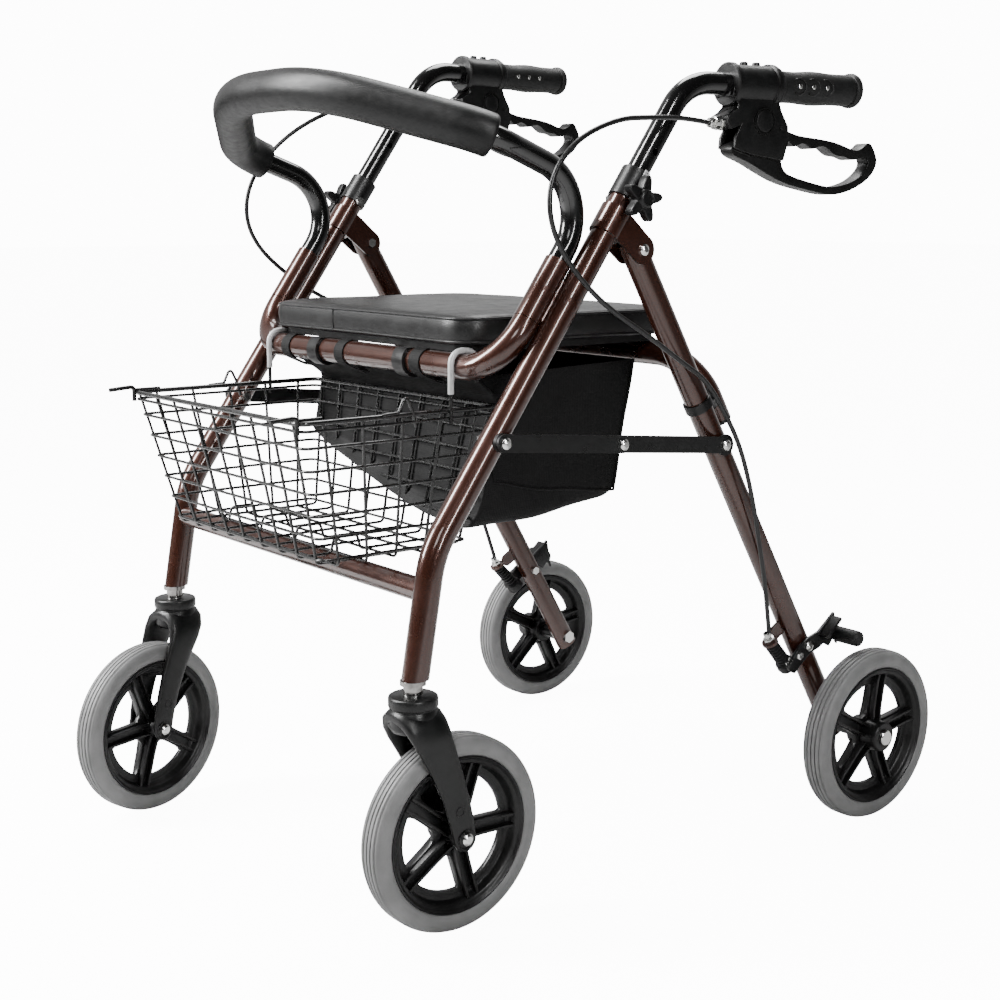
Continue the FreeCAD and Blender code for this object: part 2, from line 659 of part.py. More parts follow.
# ---- brakes ----
def brake_arm():
    """The lever on the rear leg, pulled by the cable in front and pressing its shoe on the tyre."""
    front = BRAKE_PIVOT - REAR_SIDE * 30 + REAR_DIR * 4
    rear = V(SIDE_X, BRAKE_PIVOT.y + 30, BRAKE_PIVOT.z + 12)
    plate = bar(front, BRAKE_PIVOT, 13, BRAKE_ARM_X0, BRAKE_ARM_X1)
    plate = plate.fuse(bar(BRAKE_PIVOT, rear, 15, BRAKE_ARM_X0, BRAKE_ARM_X1))
    shoe_side = [(530, 206), (556, 220), (567, 214), (565, 193), (542, 189), (530, 194)]
    shoe = outline(shoe_side, BRAKE_ARM_X0, REAR_WHEEL_X + TYRE_WIDTH / 2 - 3)
    tyre = Part.makeCylinder(WHEEL_R + BRAKE_GAP, 80, V(REAR_WHEEL_X - 40, AXLE.y, AXLE.z), X_AXIS)
    body = plate.fuse(shoe).cut(tyre)
    bore = cyl(at_x(IN_X, BRAKE_PIVOT), at_x(OUT_X, BRAKE_PIVOT), BOLT_R + FIT)
    return body.cut(bore).removeSplitter()


# ---- wheels and casters ----
def tyre(x, y):
    """A solid grey tyre with two grooves round its tread."""
    w = TYRE_WIDTH / 2
    r = WHEEL_R
    profile = [(-w + 2, RIM_R), (-w, RIM_R + 4), (-w + 0.8, r - 8), (-w + 5, r - 2), (-6.2, r),
               (-5.2, r - 1.6), (-4.2, r), (4.2, r), (5.2, r - 1.6), (6.2, r), (w - 5, r - 2),
               (w - 0.8, r - 8), (w, RIM_R + 4), (w - 2, RIM_R)]
    loop = Part.makePolygon([V(x + dx, y, WHEEL_R + dr) for dx, dr in profile + profile[:1]])
    return Part.Face(loop).revolve(V(x, y, WHEEL_R), X_AXIS, 360)


def rim(x, y, hub_in, hub_out, hub_r, bore, turn):
    """A plastic rim with five twin-ribbed spokes."""
    centre = V(x, y, WHEEL_R)
    w = TYRE_WIDTH / 2 - 3
    band = ring(centre - X_AXIS * w, centre + X_AXIS * w, RIM_R, RIM_R - 7)
    hub = cyl(centre - X_AXIS * hub_in, centre + X_AXIS * hub_out, hub_r)
    solid = band.fuse(hub)
    spokes = []
    for k in range(5):
        web = box(x - 2, x + 2, y - 8, y + 8, WHEEL_R + hub_r - 4, WHEEL_R + RIM_R - 4)
        for dy in (-8, 8):
            rib = box(x - 9, x + 9, y + dy - 2, y + dy + 2, WHEEL_R + hub_r - 5, WHEEL_R + RIM_R - 4)
            web = web.fuse(rib)
        web.rotate(centre, X_AXIS, 72 * k + turn)
        spokes.append(web)
    solid = solid.fuse(spokes)
    return solid.cut(cyl(centre - X_AXIS * 60, centre + X_AXIS * 60, bore)).removeSplitter()


FORK_GAP = 17.3        # inner and outer faces of the fork's prongs, from its middle
FORK_OUT = 24.5
FORK_CROWN_R = 22.0
CASTER_AXLE_R = 4.0


def caster_fork():
    """The plastic fork: a round crown with a skirt and two prongs down to the axle."""
    stem = V(SIDE_X, CASTER_Y, 0)
    hub = V(SIDE_X, CASTER_Y + CASTER_TRAIL, WHEEL_R)
    body = cyl(stem + Z_AXIS * 219, stem + Z_AXIS * 236, FORK_CROWN_R)
    body = body.fuse(cyl(stem + Z_AXIS * 200, stem + Z_AXIS * 219, FORK_OUT))
    eye_r = 12.5
    for s in (-1, 1):
        x0, x1 = sorted((SIDE_X + s * FORK_GAP, SIDE_X + s * FORK_OUT))
        prong_side = [(CASTER_Y - 23, 222), (CASTER_Y + 21, 222), (CASTER_Y + 30, 196), (hub.y + 8, 150),
                      (hub.y + eye_r, WHEEL_R), (hub.y - eye_r, WHEEL_R), (CASTER_Y + 8, 148),
                      (CASTER_Y - 18, 192)]
        body = body.fuse(outline(prong_side, x0, x1))
        body = body.fuse(cyl(at_x(x0, hub), at_x(x1, hub), eye_r))
    room = cyl(at_x(SIDE_X - FORK_GAP, hub), at_x(SIDE_X + FORK_GAP, hub), WHEEL_R + 5)
    body = body.cut(room)
    body = body.cut(cyl(at_x(IN_X, hub), at_x(OUT_X, hub), CASTER_AXLE_R))
    return body.cut(cyl(stem + Z_AXIS * 190, stem + Z_AXIS * 240, AXLE_R)).removeSplitter()


def caster_bolts():
    """The steel stem that turns in the bearing, and the axle bolt."""
    stem = V(SIDE_X, CASTER_Y, 0)
    pin = cyl(stem + Z_AXIS * 204, stem + Z_AXIS * 262, AXLE_R)
    shoulder = ring(stem + Z_AXIS * 236, stem + Z_AXIS * 237.3, 9, AXLE_R)
    hub_y = CASTER_Y + CASTER_TRAIL
    axle = cap_bolt(hub_y, WHEEL_R, SIDE_X - FORK_OUT, SIDE_X + FORK_OUT, CASTER_AXLE_R, 6.0)
    return group(pin.fuse(shoulder), axle)


def turned_left(shape):
    """The left-hand caster stands turned about its stem."""
    left = mirrored(shape)
    left.rotate(V(-SIDE_X, CASTER_Y, 0), Z_AXIS, LEFT_CASTER_TURN)
    return left


# ---- brake cables: straight runs joined by wide arcs ----
def cable(points, diameter=5.0):
    radii = []
    for before, corner, after in zip(points, points[1:], points[2:]):
        a, b = corner - before, after - corner
        turn = a.getAngle(b)
        radii.append(0.45 * min(a.Length, b.Length) / math.tan(turn / 2))
    body = rod(points, radii, diameter)
    print("cable: radii", [round(r) for r in radii], "length", round(route(points, radii).Length))
    return body


FOLD_PASS = V(273, 152, 611)       # where the cable passes from the front frame to the rear frame
CABLE_WAY = V(-3, 28, -26)         # and its run on each side of that point


def upper_cable_points(raised):
    """From the lever's barrel forward, down and back to the front leg."""
    lift = LEG_DIR * raised
    start = V(SIDE_X + 2.7, 351.5, 751.5) + lift
    return [start, V(250, 306, 754) + lift, V(259, 258, 752) + lift, V(265, 207, 749) + lift * 0.8,
            V(268, 151, 727) + lift * 0.5, V(274, 116, 687) + lift * 0.2, FOLD_PASS - CABLE_WAY, FOLD_PASS]


LOWER_CABLE = [FOLD_PASS, FOLD_PASS + CABLE_WAY, V(264, 255, 547), V(260, 300, 521), V(257, 338, 501),
               V(257, 369, 462), V(258, 391, 425), V(257, 411, 371), V(254, 426, 322),
               V(247, 446, 269), at_x(SIDE_X + 5, CABLE_STOP) - REAR_DIR * 1.8]


def build():
    both("front_leg", front_leg())
    nodes["crossbar"] = crossbar()
    nodes["seat_rail_front"] = rail_front()
    nodes["back_bar_sockets"] = pair(back_bar_socket())
    nodes["leg_collars"] = pair(leg_collar())
    nodes["fold_brackets"] = pair(fold_bracket())
    nodes["frame_bolts"] = frame_bolts()
    nodes["link_spacers"] = link_spacer()
    nodes["caster_bearings"] = caster_bearing()
    nodes["back_bar"] = tube(*back_bar(), HANDLE_OD, 1.5)
    nodes["back_pad"] = back_pad()
    nodes["under_seat_bag"] = under_seat_bag()
    nodes["basket"] = basket()
    nodes["basket_wires"] = basket_wires()

    both("rear_leg", rear_leg())
    nodes["seat_rail_rear"] = rail_rear()
    nodes["rail_end_caps"] = pair(rail_end_cap())
    nodes["rail_saddles"] = pair(rail_saddle())
    nodes["rear_bolts"] = rear_bolts()
    nodes["axle_spacers"] = axle_spacer()
    nodes["brake_brackets"] = brake_bracket()
    nodes["brake_boots"] = brake_boot()

    both("link_front", link_front())
    both("link_rear", link_rear())

    nodes["seat_board"] = seat_board()
    nodes["seat_cushion"] = seat_cushion()
    nodes["seat_clips"] = seat_clips()

    raised = LEG_DIR * (HOLE_PITCH * LEFT_HANDLE_STEPS)
    for name, shape in (("handle_tube", handle_tube()), ("grip", grip()), ("brake_housing", brake_housing()),
                        ("brake_lever", brake_lever())):
        both(name, shape)
        nodes[name + "_left"].translate(raised)
    both("clamp_knob", clamp_knob())
    both("brake_arm", brake_arm())

    nodes["cable_upper_right"] = cable(upper_cable_points(0))
    nodes["cable_upper_left"] = mirrored(cable(upper_cable_points(raised.Length)))
    both("cable_lower", cable(LOWER_CABLE))

    both("rear_tyre", tyre(REAR_WHEEL_X, REAR_AXLE_Y))
    both("rear_rim", rim(REAR_WHEEL_X, REAR_AXLE_Y, REAR_HUB_IN, REAR_HUB_OUT, 13.0, AXLE_R + FIT, 8))
    wheel_y = CASTER_Y + CASTER_TRAIL
    for name, shape in (("caster_fork", caster_fork()), ("caster_bolts", caster_bolts()),
                        ("front_tyre", tyre(SIDE_X, wheel_y)),
                        ("front_rim", rim(SIDE_X, wheel_y, 17.0, 17.0, 11.0, CASTER_AXLE_R + FIT, 20))):
        nodes[name + "_right"] = shape
        nodes[name + "_left"] = turned_left(shape)


def export_all():
    """Centre the walker on the origin and write one STEP file for each node."""
    os.makedirs("parts", exist_ok=True)
    whole = FreeCAD.BoundBox()
    for shape in nodes.values():
        whole.add(shape.BoundBox)
    middle = V(0, -(whole.YMin + whole.YMax) / 2, 0)
    print("moved by", round(middle.y, 3), "size", round(whole.XLength, 1), round(whole.YLength, 1),
          round(whole.ZMax, 1), "lowest", round(whole.ZMin, 3))
    for name, shape in nodes.items():
        shape.translate(middle)
        assert shape.isValid(), name
        shape.exportStep("parts/" + name + ".step")


build()
export_all()
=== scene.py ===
from functools import partial
from math import asin, atan2, copysign, cos, exp, hypot, pi, radians, sin, tan
import bmesh
import bpy
from mathutils import Matrix, Vector


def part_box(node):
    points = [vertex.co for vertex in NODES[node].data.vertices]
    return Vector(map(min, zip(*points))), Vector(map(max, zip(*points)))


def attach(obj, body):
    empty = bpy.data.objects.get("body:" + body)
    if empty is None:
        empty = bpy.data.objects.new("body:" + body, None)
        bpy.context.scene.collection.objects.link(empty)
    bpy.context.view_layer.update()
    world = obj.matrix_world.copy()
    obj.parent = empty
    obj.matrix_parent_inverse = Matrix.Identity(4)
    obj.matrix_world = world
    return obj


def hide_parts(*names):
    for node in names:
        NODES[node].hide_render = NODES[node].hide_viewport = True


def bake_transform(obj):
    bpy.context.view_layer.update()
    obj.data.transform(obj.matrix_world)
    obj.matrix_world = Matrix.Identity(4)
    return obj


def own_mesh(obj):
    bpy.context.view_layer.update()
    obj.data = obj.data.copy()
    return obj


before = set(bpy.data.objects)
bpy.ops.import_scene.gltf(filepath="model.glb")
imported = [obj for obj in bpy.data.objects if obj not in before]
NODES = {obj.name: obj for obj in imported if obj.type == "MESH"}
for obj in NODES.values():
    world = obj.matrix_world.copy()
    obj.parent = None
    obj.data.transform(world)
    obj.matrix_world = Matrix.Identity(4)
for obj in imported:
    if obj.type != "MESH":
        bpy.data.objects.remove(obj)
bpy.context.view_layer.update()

# Rollator walker. Shapes are given in millimetres in the walker's own layout, in which y = 0 lies
# near the caster axes; place() turns them into metres in the shared frame. "side" is 1 for the
# right-hand (+X) copy of a piece and -1 for its mirror image.
CASTER_Y = -5.0
_low, _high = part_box("caster_bearings")
SHIFT_Y = (_low.y + _high.y) / 2 * 1000 - CASTER_Y
SIDE_X = 235.0
LEG_TILT = radians(35.7)
LEG_Y_AT_FLOOR = -244.2
LEG_DIR = Vector((0, sin(LEG_TILT), cos(LEG_TILT)))
LEFT_LIFT = 54.0  # the left handle is set two holes higher
HANDLE_SPLAY = radians(5.3)
GRIP_Z = 789.0
WHEEL_R = 95.0
TUBE_R = 12.7  # legs and seat rails
SIDES = ((1, "right"), (-1, "left"))


def vec(x, y, z):
    return Vector((x, y, z))


def circle(r, count, centre=(0, 0)):
    """Points round a centre, in two coordinates."""
    return [(centre[0] + r * cos(2 * pi * k / count),
             centre[1] + r * sin(2 * pi * k / count)) for k in range(count)]


def swell(t):
    """0 at t = 0, 1 half-way and 0 again at t = 1."""
    return sin(pi * t)


def place(p):
    return vec(p[0], p[1] + SHIFT_Y, p[2]) / 1000


def leg_point(z, x=SIDE_X):
    return vec(x, z * tan(LEG_TILT) + LEG_Y_AT_FLOOR, z)


PIVOT = vec(SIDE_X, 258.0, 629.5)
AXLE = vec(SIDE_X, 573.0, WHEEL_R)
REAR_DIR = (AXLE - PIVOT).normalized()
REAR_SIDE = vec(0, -REAR_DIR.z, REAR_DIR.y)


def rear_point(z, x=SIDE_X):
    p = PIVOT + REAR_DIR * ((PIVOT.z - z) / -REAR_DIR.z)
    return vec(x, p.y, p.z)


# ---------- camera
camera = bpy.data.objects.new("camera", bpy.data.cameras.new("camera"))
bpy.context.scene.collection.objects.link(camera)
camera.location = place((1361.5, -790.1, 663.0))
camera.rotation_euler = (radians(90 - 10.27), 0, radians(52.0))
camera.data.lens = 56.8
camera.data.sensor_width = 36
camera.data.shift_x = 0.004
camera.data.clip_start = 0.05
bpy.context.scene.camera = camera


# ---------- materials
def add_node(tree, kind, sockets=(), **values):
    """A shader node. Each socket is given a link or a number; a value whose key starts with a
    capital is an input, any other a setting."""
    node = tree.nodes.new("ShaderNode" + kind)
    for key, value in values.items():
        if key[0].isupper():
            node.inputs[key.replace("_", " ")].default_value = value
        else:
            setattr(node, key, value)
    for socket, source in sockets:
        if isinstance(source, bpy.types.NodeSocket):
            tree.links.new(source, node.inputs[socket])
        else:
            node.inputs[socket].default_value = source
    return node


def rgb(colour):
    return colour if isinstance(colour, tuple) else (colour,) * 3


def add_ramp(tree, source, *stops):
    """A ramp between two stops of (position, colour or grey)."""
    node = add_node(tree, "ValToRGB", [("Fac", source)])
    for element, (at, colour) in zip(node.color_ramp.elements, stops):
        element.position = at
        element.color = (*rgb(colour), 1)
    return node.outputs["Color"]


class Nodes:
    """A short way to build one material's node tree."""

    def __init__(self, name, **inputs):
        self.name = name
        self.material = bpy.data.materials.new(name)
        self.material.use_nodes = True
        self.tree = self.material.node_tree
        self.shader = self.tree.nodes["Principled BSDF"]
        for key, value in inputs.items():
            self.shader.inputs[key.replace("_", " ")].default_value = value
        self.where = self.add("TexCoord").outputs["Object"]

    def add(self, kind, sockets=(), **values):
        return add_node(self.tree, kind, sockets, **values)

    def noise(self, scale, detail=3.0, rough=0.5):
        return self.add("TexNoise", [("Vector", self.where)], Scale=scale, Detail=detail,
                        Roughness=rough).outputs["Fac"]

    def cells(self, scale, feature="F1"):
        return self.add("TexVoronoi", [("Vector", self.where)], Scale=scale,
                        feature=feature).outputs["Distance"]

    def to(self, socket, source):
        self.tree.links.new(source, self.shader.inputs[socket])

    def vary(self, socket, source, low, high):
        """Drives a socket from a texture, through a ramp between two stops."""
        self.to(socket, add_ramp(self.tree, source, low, high))

    def bump(self, *heights):
        """Each height is (source, strength, distance in metres)."""
        normal = None
        for source, strength, distance in heights:
            links = [("Height", source)] + ([("Normal", normal)] if normal else [])
            normal = self.add("Bump", links, Strength=strength, Distance=distance).outputs["Normal"]
        self.to("Normal", normal)


def tinted(name, colour, spread, scale, rough, rough_spread, bumps, **inputs):
    """A surface whose colour and roughness vary a little from place to place."""
    made = Nodes(name, **inputs)
    dark, light = (tuple(c * share for c in rgb(colour)) for share in (1 - spread, 1 + spread))
    made.vary("Base Color", made.noise(scale), (0.3, dark), (0.7, light))
    made.vary("Roughness", made.noise(scale * 2.3), (0.3, rough - rough_spread),
              (0.7, rough + rough_spread))
    made.bump(*[(made.noise(s, 4.0), strength, distance) for s, strength, distance in bumps])
    return made


def nylon():
    """Plain-weave cloth: two crossed sets of threads, small creases and a slow change of tone."""
    made = Nodes("nylon", Specular_IOR_Level=0.2)
    threads_per_metre = 1 / 0.0011
    bands = [made.add("TexWave", [("Vector", made.where)], Scale=threads_per_metre / 6.28,
                      bands_direction=direction, Distortion=0.6).outputs["Fac"] for direction in "XYZ"]
    cross = made.add("Math", [(0, bands[0]), (1, bands[2])], operation="MULTIPLY").outputs[0]
    weave = made.add("Math", [(0, cross), (1, bands[1])], operation="ADD").outputs[0]
    made.vary("Base Color", made.noise(14, 5.0, 0.6), (0.25, 0.0015), (0.75, 0.00375))
    made.vary("Roughness", made.noise(30), (0.3, 0.64), (0.7, 0.77))
    made.bump((weave, 0.35, 0.0004), (made.noise(55, 4.0), 0.35, 0.0012),
              (made.noise(14, 2.0), 0.25, 0.004))
    return made


def vinyl():
    made = Nodes("vinyl", Coat_Weight=0.08, Coat_Roughness=0.25, Specular_IOR_Level=0.35)
    made.vary("Base Color", made.noise(20, 4.0), (0.3, 0.003), (0.7, 0.006))
    made.vary("Roughness", made.noise(60, 4.0), (0.3, 0.36), (0.7, 0.5))
    made.bump((made.cells(900, "SMOOTH_F1"), 0.4, 0.0002), (made.noise(45, 4.0), 0.2, 0.0015))
    return made


def frame_paint():
    """Glossy bronze-brown powder coat with fine metal flakes."""
    made = Nodes("frame_paint", Metallic=0.5, Coat_Weight=1.0, Coat_Roughness=0.04)
    made.vary("Base Color", made.cells(1800), (0.0, (0.065, 0.019, 0.010)), (0.8, (0.026, 0.0075, 0.004)))
    made.vary("Roughness", made.noise(25, 4.0), (0.3, 0.24), (0.7, 0.34))
    made.bump((made.noise(380), 0.015, 0.0003))
    return made


MATERIALS = {made.name: made for made in (
    # name, colour, its spread, scale of the patches, roughness, its spread, bumps, shader inputs
    tinted("black_tube", 0.004, 0.25, 18, 0.17, 0.05, [(420, 0.015, 0.0002)],
           Coat_Weight=0.6, Coat_Roughness=0.05),
    tinted("zinc_steel", (0.80, 0.80, 0.78), 0.10, 120, 0.20, 0.07, [(900, 0.1, 0.0001)], Metallic=1.0),
    # the caster bearings' steel: zinc_steel's kind of steel with its colour darkened from 0.80 to 0.30,
    # painted shade for the ring where each leg meets its caster
    tinted("shade_darkened_steel", (0.30, 0.29, 0.28), 0.3, 160, 0.16, 0.08, [(900, 0.1, 0.0001)], Metallic=1.0),
    tinted("black_plastic", 0.004, 0.3, 35, 0.36, 0.07, [(1400, 0.25, 0.0002)], Specular_IOR_Level=0.35),
    tinted("wheel_plastic", 0.003, 0.3, 30, 0.36, 0.08, [(1100, 0.22, 0.0002)], Specular_IOR_Level=0.35),
    tinted("grey_tyre", 0.15, 0.12, 40, 0.50, 0.08, [(700, 0.2, 0.0002), (60, 0.15, 0.001)]),
    tinted("foam", 0.003, 0.25, 60, 0.42, 0.05, [(1100, 0.4, 0.0003), (160, 0.03, 0.0006)],
           Specular_IOR_Level=0.3),
    tinted("black_wire", 0.004, 0.3, 50, 0.28, 0.06, [(600, 0.1, 0.0002)],
           Coat_Weight=0.3, Coat_Roughness=0.1),
    tinted("link_paint", 0.006, 0.3, 40, 0.33, 0.08, [(500, 0.15, 0.0002)], Specular_IOR_Level=0.35),
    tinted("rubber", 0.006, 0.3, 50, 0.52, 0.07, [(900, 0.3, 0.0002)], Specular_IOR_Level=0.3),
    tinted("cable", 0.004, 0.3, 80, 0.36, 0.06, [(800, 0.1, 0.0001)]),
    frame_paint(), vinyl(), nylon())}
for made in MATERIALS.values():
    made.material.diffuse_color = (0.1, 0.1, 0.1, 1)
HOOK_SLEEVE = tinted("hook_sleeve", 0.42, 0.2, 90, 0.3, 0.08, [(500, 0.1, 0.0002)],
                     Coat_Weight=0.4, Coat_Roughness=0.1)


def dress(obj, slot):
    """Gives a piece the material of one of the record's slots."""
    obj.data.materials.clear()
    obj.data.materials.append(MATERIALS[slot].material)


# ---------- mesh helpers
def smooth(mesh, angle):
    """Smooth shading that stays crisp at edges sharper than the angle."""
    bm = bmesh.new()
    bm.from_mesh(mesh)
    for face in bm.faces:
        face.smooth = True
    for edge in bm.edges:
        if len(edge.link_faces) == 2:
            edge.smooth = edge.calc_face_angle(0) < radians(angle)
    bm.to_mesh(mesh)
    bm.free()


def piece(name, parts, slot, body, replaced=(), angle=38.0, side=1, move=None):
    """One object from lists of (points in mm, faces); mirrored when side is -1."""
    bm = bmesh.new()
    for points, faces in parts:
        made = []
        for p in points:
            p = move(Vector(p)) if move else Vector(p)
            made.append(bm.verts.new(place((p.x * side, p.y, p.z))))
        for face in faces:
            try:
                bm.faces.new([made[i] for i in face])
            except ValueError:  # the face is there already
                pass
    bmesh.ops.remove_doubles(bm, verts=bm.verts, dist=1e-6)
    bmesh.ops.recalc_face_normals(bm, faces=bm.faces)
    mesh = bpy.data.meshes.new(name)
    bm.to_mesh(mesh)
    bm.free()
    smooth(mesh, angle)
    obj = bpy.data.objects.new(name, mesh)
    bpy.context.scene.collection.objects.link(obj)
    dress(obj, slot)
    if body:
        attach(obj, body)
    if replaced:
        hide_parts(*replaced)
    return obj


def modified(obj, kind, **settings):
    """Adds a modifier and applies it, so that the mesh itself has the shape."""
    modifier = obj.modifiers.new(kind.lower(), kind)
    for key, value in settings.items():
        setattr(modifier, key, value)
    graph = bpy.context.evaluated_depsgraph_get()
    graph.update()
    mesh = bpy.data.meshes.new_from_object(obj.evaluated_get(graph))
    obj.modifiers.clear()
    old = obj.data
    obj.data = mesh
    bpy.data.meshes.remove(old)
    mesh.name = obj.name


def bevelled(obj, width, segments, angle):
    """Rounds the edges of a piece; the width is in mm."""
    modified(obj, "BEVEL", width=width / 1000, segments=segments, limit_method="ANGLE",
             angle_limit=radians(angle), harden_normals=False)
    smooth(obj.data, 45.0)


def quads(rows, width, round_rows=False, round_width=True, first=0):
    """The faces of a grid of points given row by row; it can close on itself either way."""
    faces = []
    for i in range(rows if round_rows else rows - 1):
        a, b = first + i * width, first + (i + 1) % rows * width
        for k in range(width if round_width else width - 1):
            m = (k + 1) % width
            faces.append((a + k, a + m, b + m, b + k))
    return faces


def caps(rows, width):
    """The two end faces of such a grid."""
    return [tuple(reversed(range(width))), tuple(range((rows - 1) * width, rows * width))]


def ring_points(p, axes, r, count):
    """Points on a circle round p, in the plane of two axes."""
    return [p + axes[0] * c + axes[1] * s for c, s in circle(r, count)]


def frames_along(points, closed=False):
    """Steady cross-axes along a path, with no twist."""
    count = len(points)
    ways = []
    for i in range(count):
        a = points[(i - 1) % count] if closed or i else points[0]
        b = points[(i + 1) % count] if closed or i < count - 1 else points[-1]
        ways.append((b - a).normalized())
    start = vec(1, 0, 0) if abs(ways[0].x) < 0.9 else vec(0, 0, 1)
    u = (start - ways[0] * start.dot(ways[0])).normalized()
    frames = []
    for way in ways:
        u = (u - way * u.dot(way)).normalized()
        frames.append((u, way.cross(u)))
    return frames


def sweep(points, radius, sides=12, closed=False):
    """A round rod along points; radius is a number or one number for each point."""
    points = [Vector(p) for p in points]
    radii = [radius] * len(points) if isinstance(radius, (int, float)) else radius
    verts = []
    for p, axes, r in zip(points, frames_along(points, closed), radii):
        verts += ring_points(p, axes, r, sides)
    faces = quads(len(points), sides, closed)
    return verts, faces if closed else faces + caps(len(points), sides)


def lathe(profile, origin, axis, steps=64):
    """Turns (along, radius) points about an axis."""
    axis = Vector(axis).normalized()
    side = vec(0, 0, 1) if abs(axis.z) < 0.9 else vec(1, 0, 0)
    u = (side - axis * side.dot(axis)).normalized()
    v = axis.cross(u)
    verts = []
    for c, s in circle(1, steps):
        verts += [Vector(origin) + axis * along + (u * c + v * s) * r for along, r in profile]
    return verts, quads(steps, len(profile), True, False)


def ring(profile, origin, axis, steps=64):
    """The same for a closed profile, which gives a ring."""
    return lathe(profile + profile[:1], origin, axis, steps)


def chaikin(points, times=2):
    """Cuts the corners of a closed outline."""
    for _ in range(times):
        cut = []
        for a, b in zip(points, points[1:] + points[:1]):
            a, b = Vector(a), Vector(b)
            cut += [a * 0.75 + b * 0.25, a * 0.25 + b * 0.75]
        points = cut
    return [tuple(p) for p in points]


def flat(outer, x0, x1, holes=(), to_3d=None):
    """A plate with holes: outlines in the (y, z) plane, thick along x."""
    bm = bmesh.new()
    edges = []
    for loop in [outer] + list(holes):
        made = [bm.verts.new((0, p[0], p[1])) for p in loop]
        edges += [bm.edges.new((made[i - 1], made[i])) for i in range(len(made))]
    bmesh.ops.triangle_fill(bm, use_beauty=True, use_dissolve=False, edges=edges)
    bm.verts.index_update()
    base = [v.co.copy() for v in bm.verts]
    cap = [[v.index for v in f.verts] for f in bm.faces]
    rim = [(e.verts[0].index, e.verts[1].index) for e in bm.edges if len(e.link_faces) == 1]
    bm.free()
    n = len(base)
    turn = to_3d or vec
    verts = [turn(x0, p.y, p.z) for p in base] + [turn(x1, p.y, p.z) for p in base]
    faces = [tuple(f) for f in cap] + [tuple(reversed([i + n for i in f])) for f in cap]
    faces += [(a, b, b + n, a + n) for a, b in rim]
    return verts, faces


def arc_route(points, radii, step=6.0):
    """Points along straight runs joined by tangent arcs."""
    points = [Vector(p) for p in points]
    path = [points[0]]
    for before, corner, after, radius in zip(points, points[1:], points[2:], radii):
        a, b = (before - corner).normalized(), (after - corner).normalized()
        half = a.angle(b) / 2
        reach = radius / tan(half)
        centre = corner + (a + b).normalized() * (radius / sin(half))
        p, q = corner + a * reach, corner + b * reach
        run = (p - path[-1]).length
        count = max(1, round(run / step))
        path += [path[-1].lerp(p, k / count) for k in range(1, count)]
        turn = pi - 2 * half
        count = max(4, round(turn * radius / step))
        from_centre = p - centre
        normal = from_centre.cross(q - centre).normalized()
        for k in range(count + 1):
            path.append(centre + Matrix.Rotation(turn * k / count, 3, normal) @ from_centre)
    run = (points[-1] - path[-1]).length
    count = max(1, round(run / step))
    path += [path[-1].lerp(points[-1], k / count) for k in range(1, count + 1)]
    clean = [path[0]]
    for p in path[1:]:
        if (p - clean[-1]).length > 0.05:
            clean.append(p)
    return clean


def spline_points(points, steps=6):
    """Smooth points through the given ones (Catmull-Rom)."""
    points = [Vector(p) for p in points]
    ext = [points[0] * 2 - points[1]] + points + [points[-1] * 2 - points[-2]]
    out = []
    for a, b, c, d in zip(ext, ext[1:], ext[2:], ext[3:]):
        for k in range(steps):
            t = k / steps
            out.append(0.5 * ((2 * b) + (c - a) * t + (2 * a - 5 * b + 4 * c - d) * t * t
                              + (3 * b - a - 3 * c + d) * t ** 3))
    return out + [points[-1]]


# ---------- brake cables
def cable_line(points):
    """The cable's smooth line: a NURBS spline with the route's points as its control points."""
    data = bpy.data.curves.new("route", "CURVE")
    data.dimensions = "3D"
    spline = data.splines.new("NURBS")
    spline.points.add(len(points) - 1)
    for knot, p in zip(spline.points, points):
        knot.co = (*p, 1)
    spline.order_u = 3
    spline.use_endpoint_u = True
    data.resolution_u = 14
    obj = bpy.data.objects.new("route", data)
    bpy.context.scene.collection.objects.link(obj)
    mesh = bpy.data.meshes.new_from_object(obj.evaluated_get(bpy.context.evaluated_depsgraph_get()))
    line = [v.co.copy() for v in mesh.vertices]
    bpy.data.objects.remove(obj)
    bpy.data.meshes.remove(mesh)
    return line


def lift_of(side):
    return LEG_DIR * (LEFT_LIFT if side < 0 else 0)


CABLE_R = 2.5
_stop = rear_point(226.0) - REAR_SIDE * 38
STOP = vec(SIDE_X + 5, _stop.y, _stop.z)  # where the housing ends above the brake
FOLD_PASS = vec(273, 152, 611)  # where the housing passes from front to rear frame
CABLE_WAY = vec(-3, 28, -26)
UPPER_CABLE = [  # x, y, z and the share of the handle's lift that each point takes
    (237.7, 351.5, 751.5, 1), (250, 306, 754, 1), (259, 258, 752, 1), (265, 207, 749, 0.8),
    (268, 151, 727, 0.5), (274, 116, 687, 0.2)]
LOWER_CABLE = [(264, 255, 547), (260, 300, 521), (257, 338, 501), (257, 369, 462), (258, 391, 425),
               (257, 411, 371), (254, 426, 322), (247, 446, 269)]
LOWER_BLEND = 6  # the index of the point from which the lower cable runs along the rear frame; its point is worked out below but not used
for side, hand in SIDES:
    upper = [vec(x, y, z) + lift_of(side) * share for x, y, z, share in UPPER_CABLE]
    upper += [FOLD_PASS - CABLE_WAY, FOLD_PASS]
    lower = [FOLD_PASS, FOLD_PASS + CABLE_WAY] + [Vector(p) for p in LOWER_CABLE]
    lower.append(STOP - REAR_DIR * 1.8)
    for name, points, last, bodies in (
            (f"cable_upper_{hand}", upper, -1, (f"handle_{hand}", "front_frame")),
            (f"cable_lower_{hand}", lower, LOWER_BLEND, ("front_frame", "rear_frame"))):
        cable = piece(name + "_housing", [sweep(cable_line(points), CABLE_R)], "cable", None, side=side)
        start, end = (place(p * vec(side, 1, 1)) for p in (points[0], points[last]))
        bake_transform(cable)
        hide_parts(name)


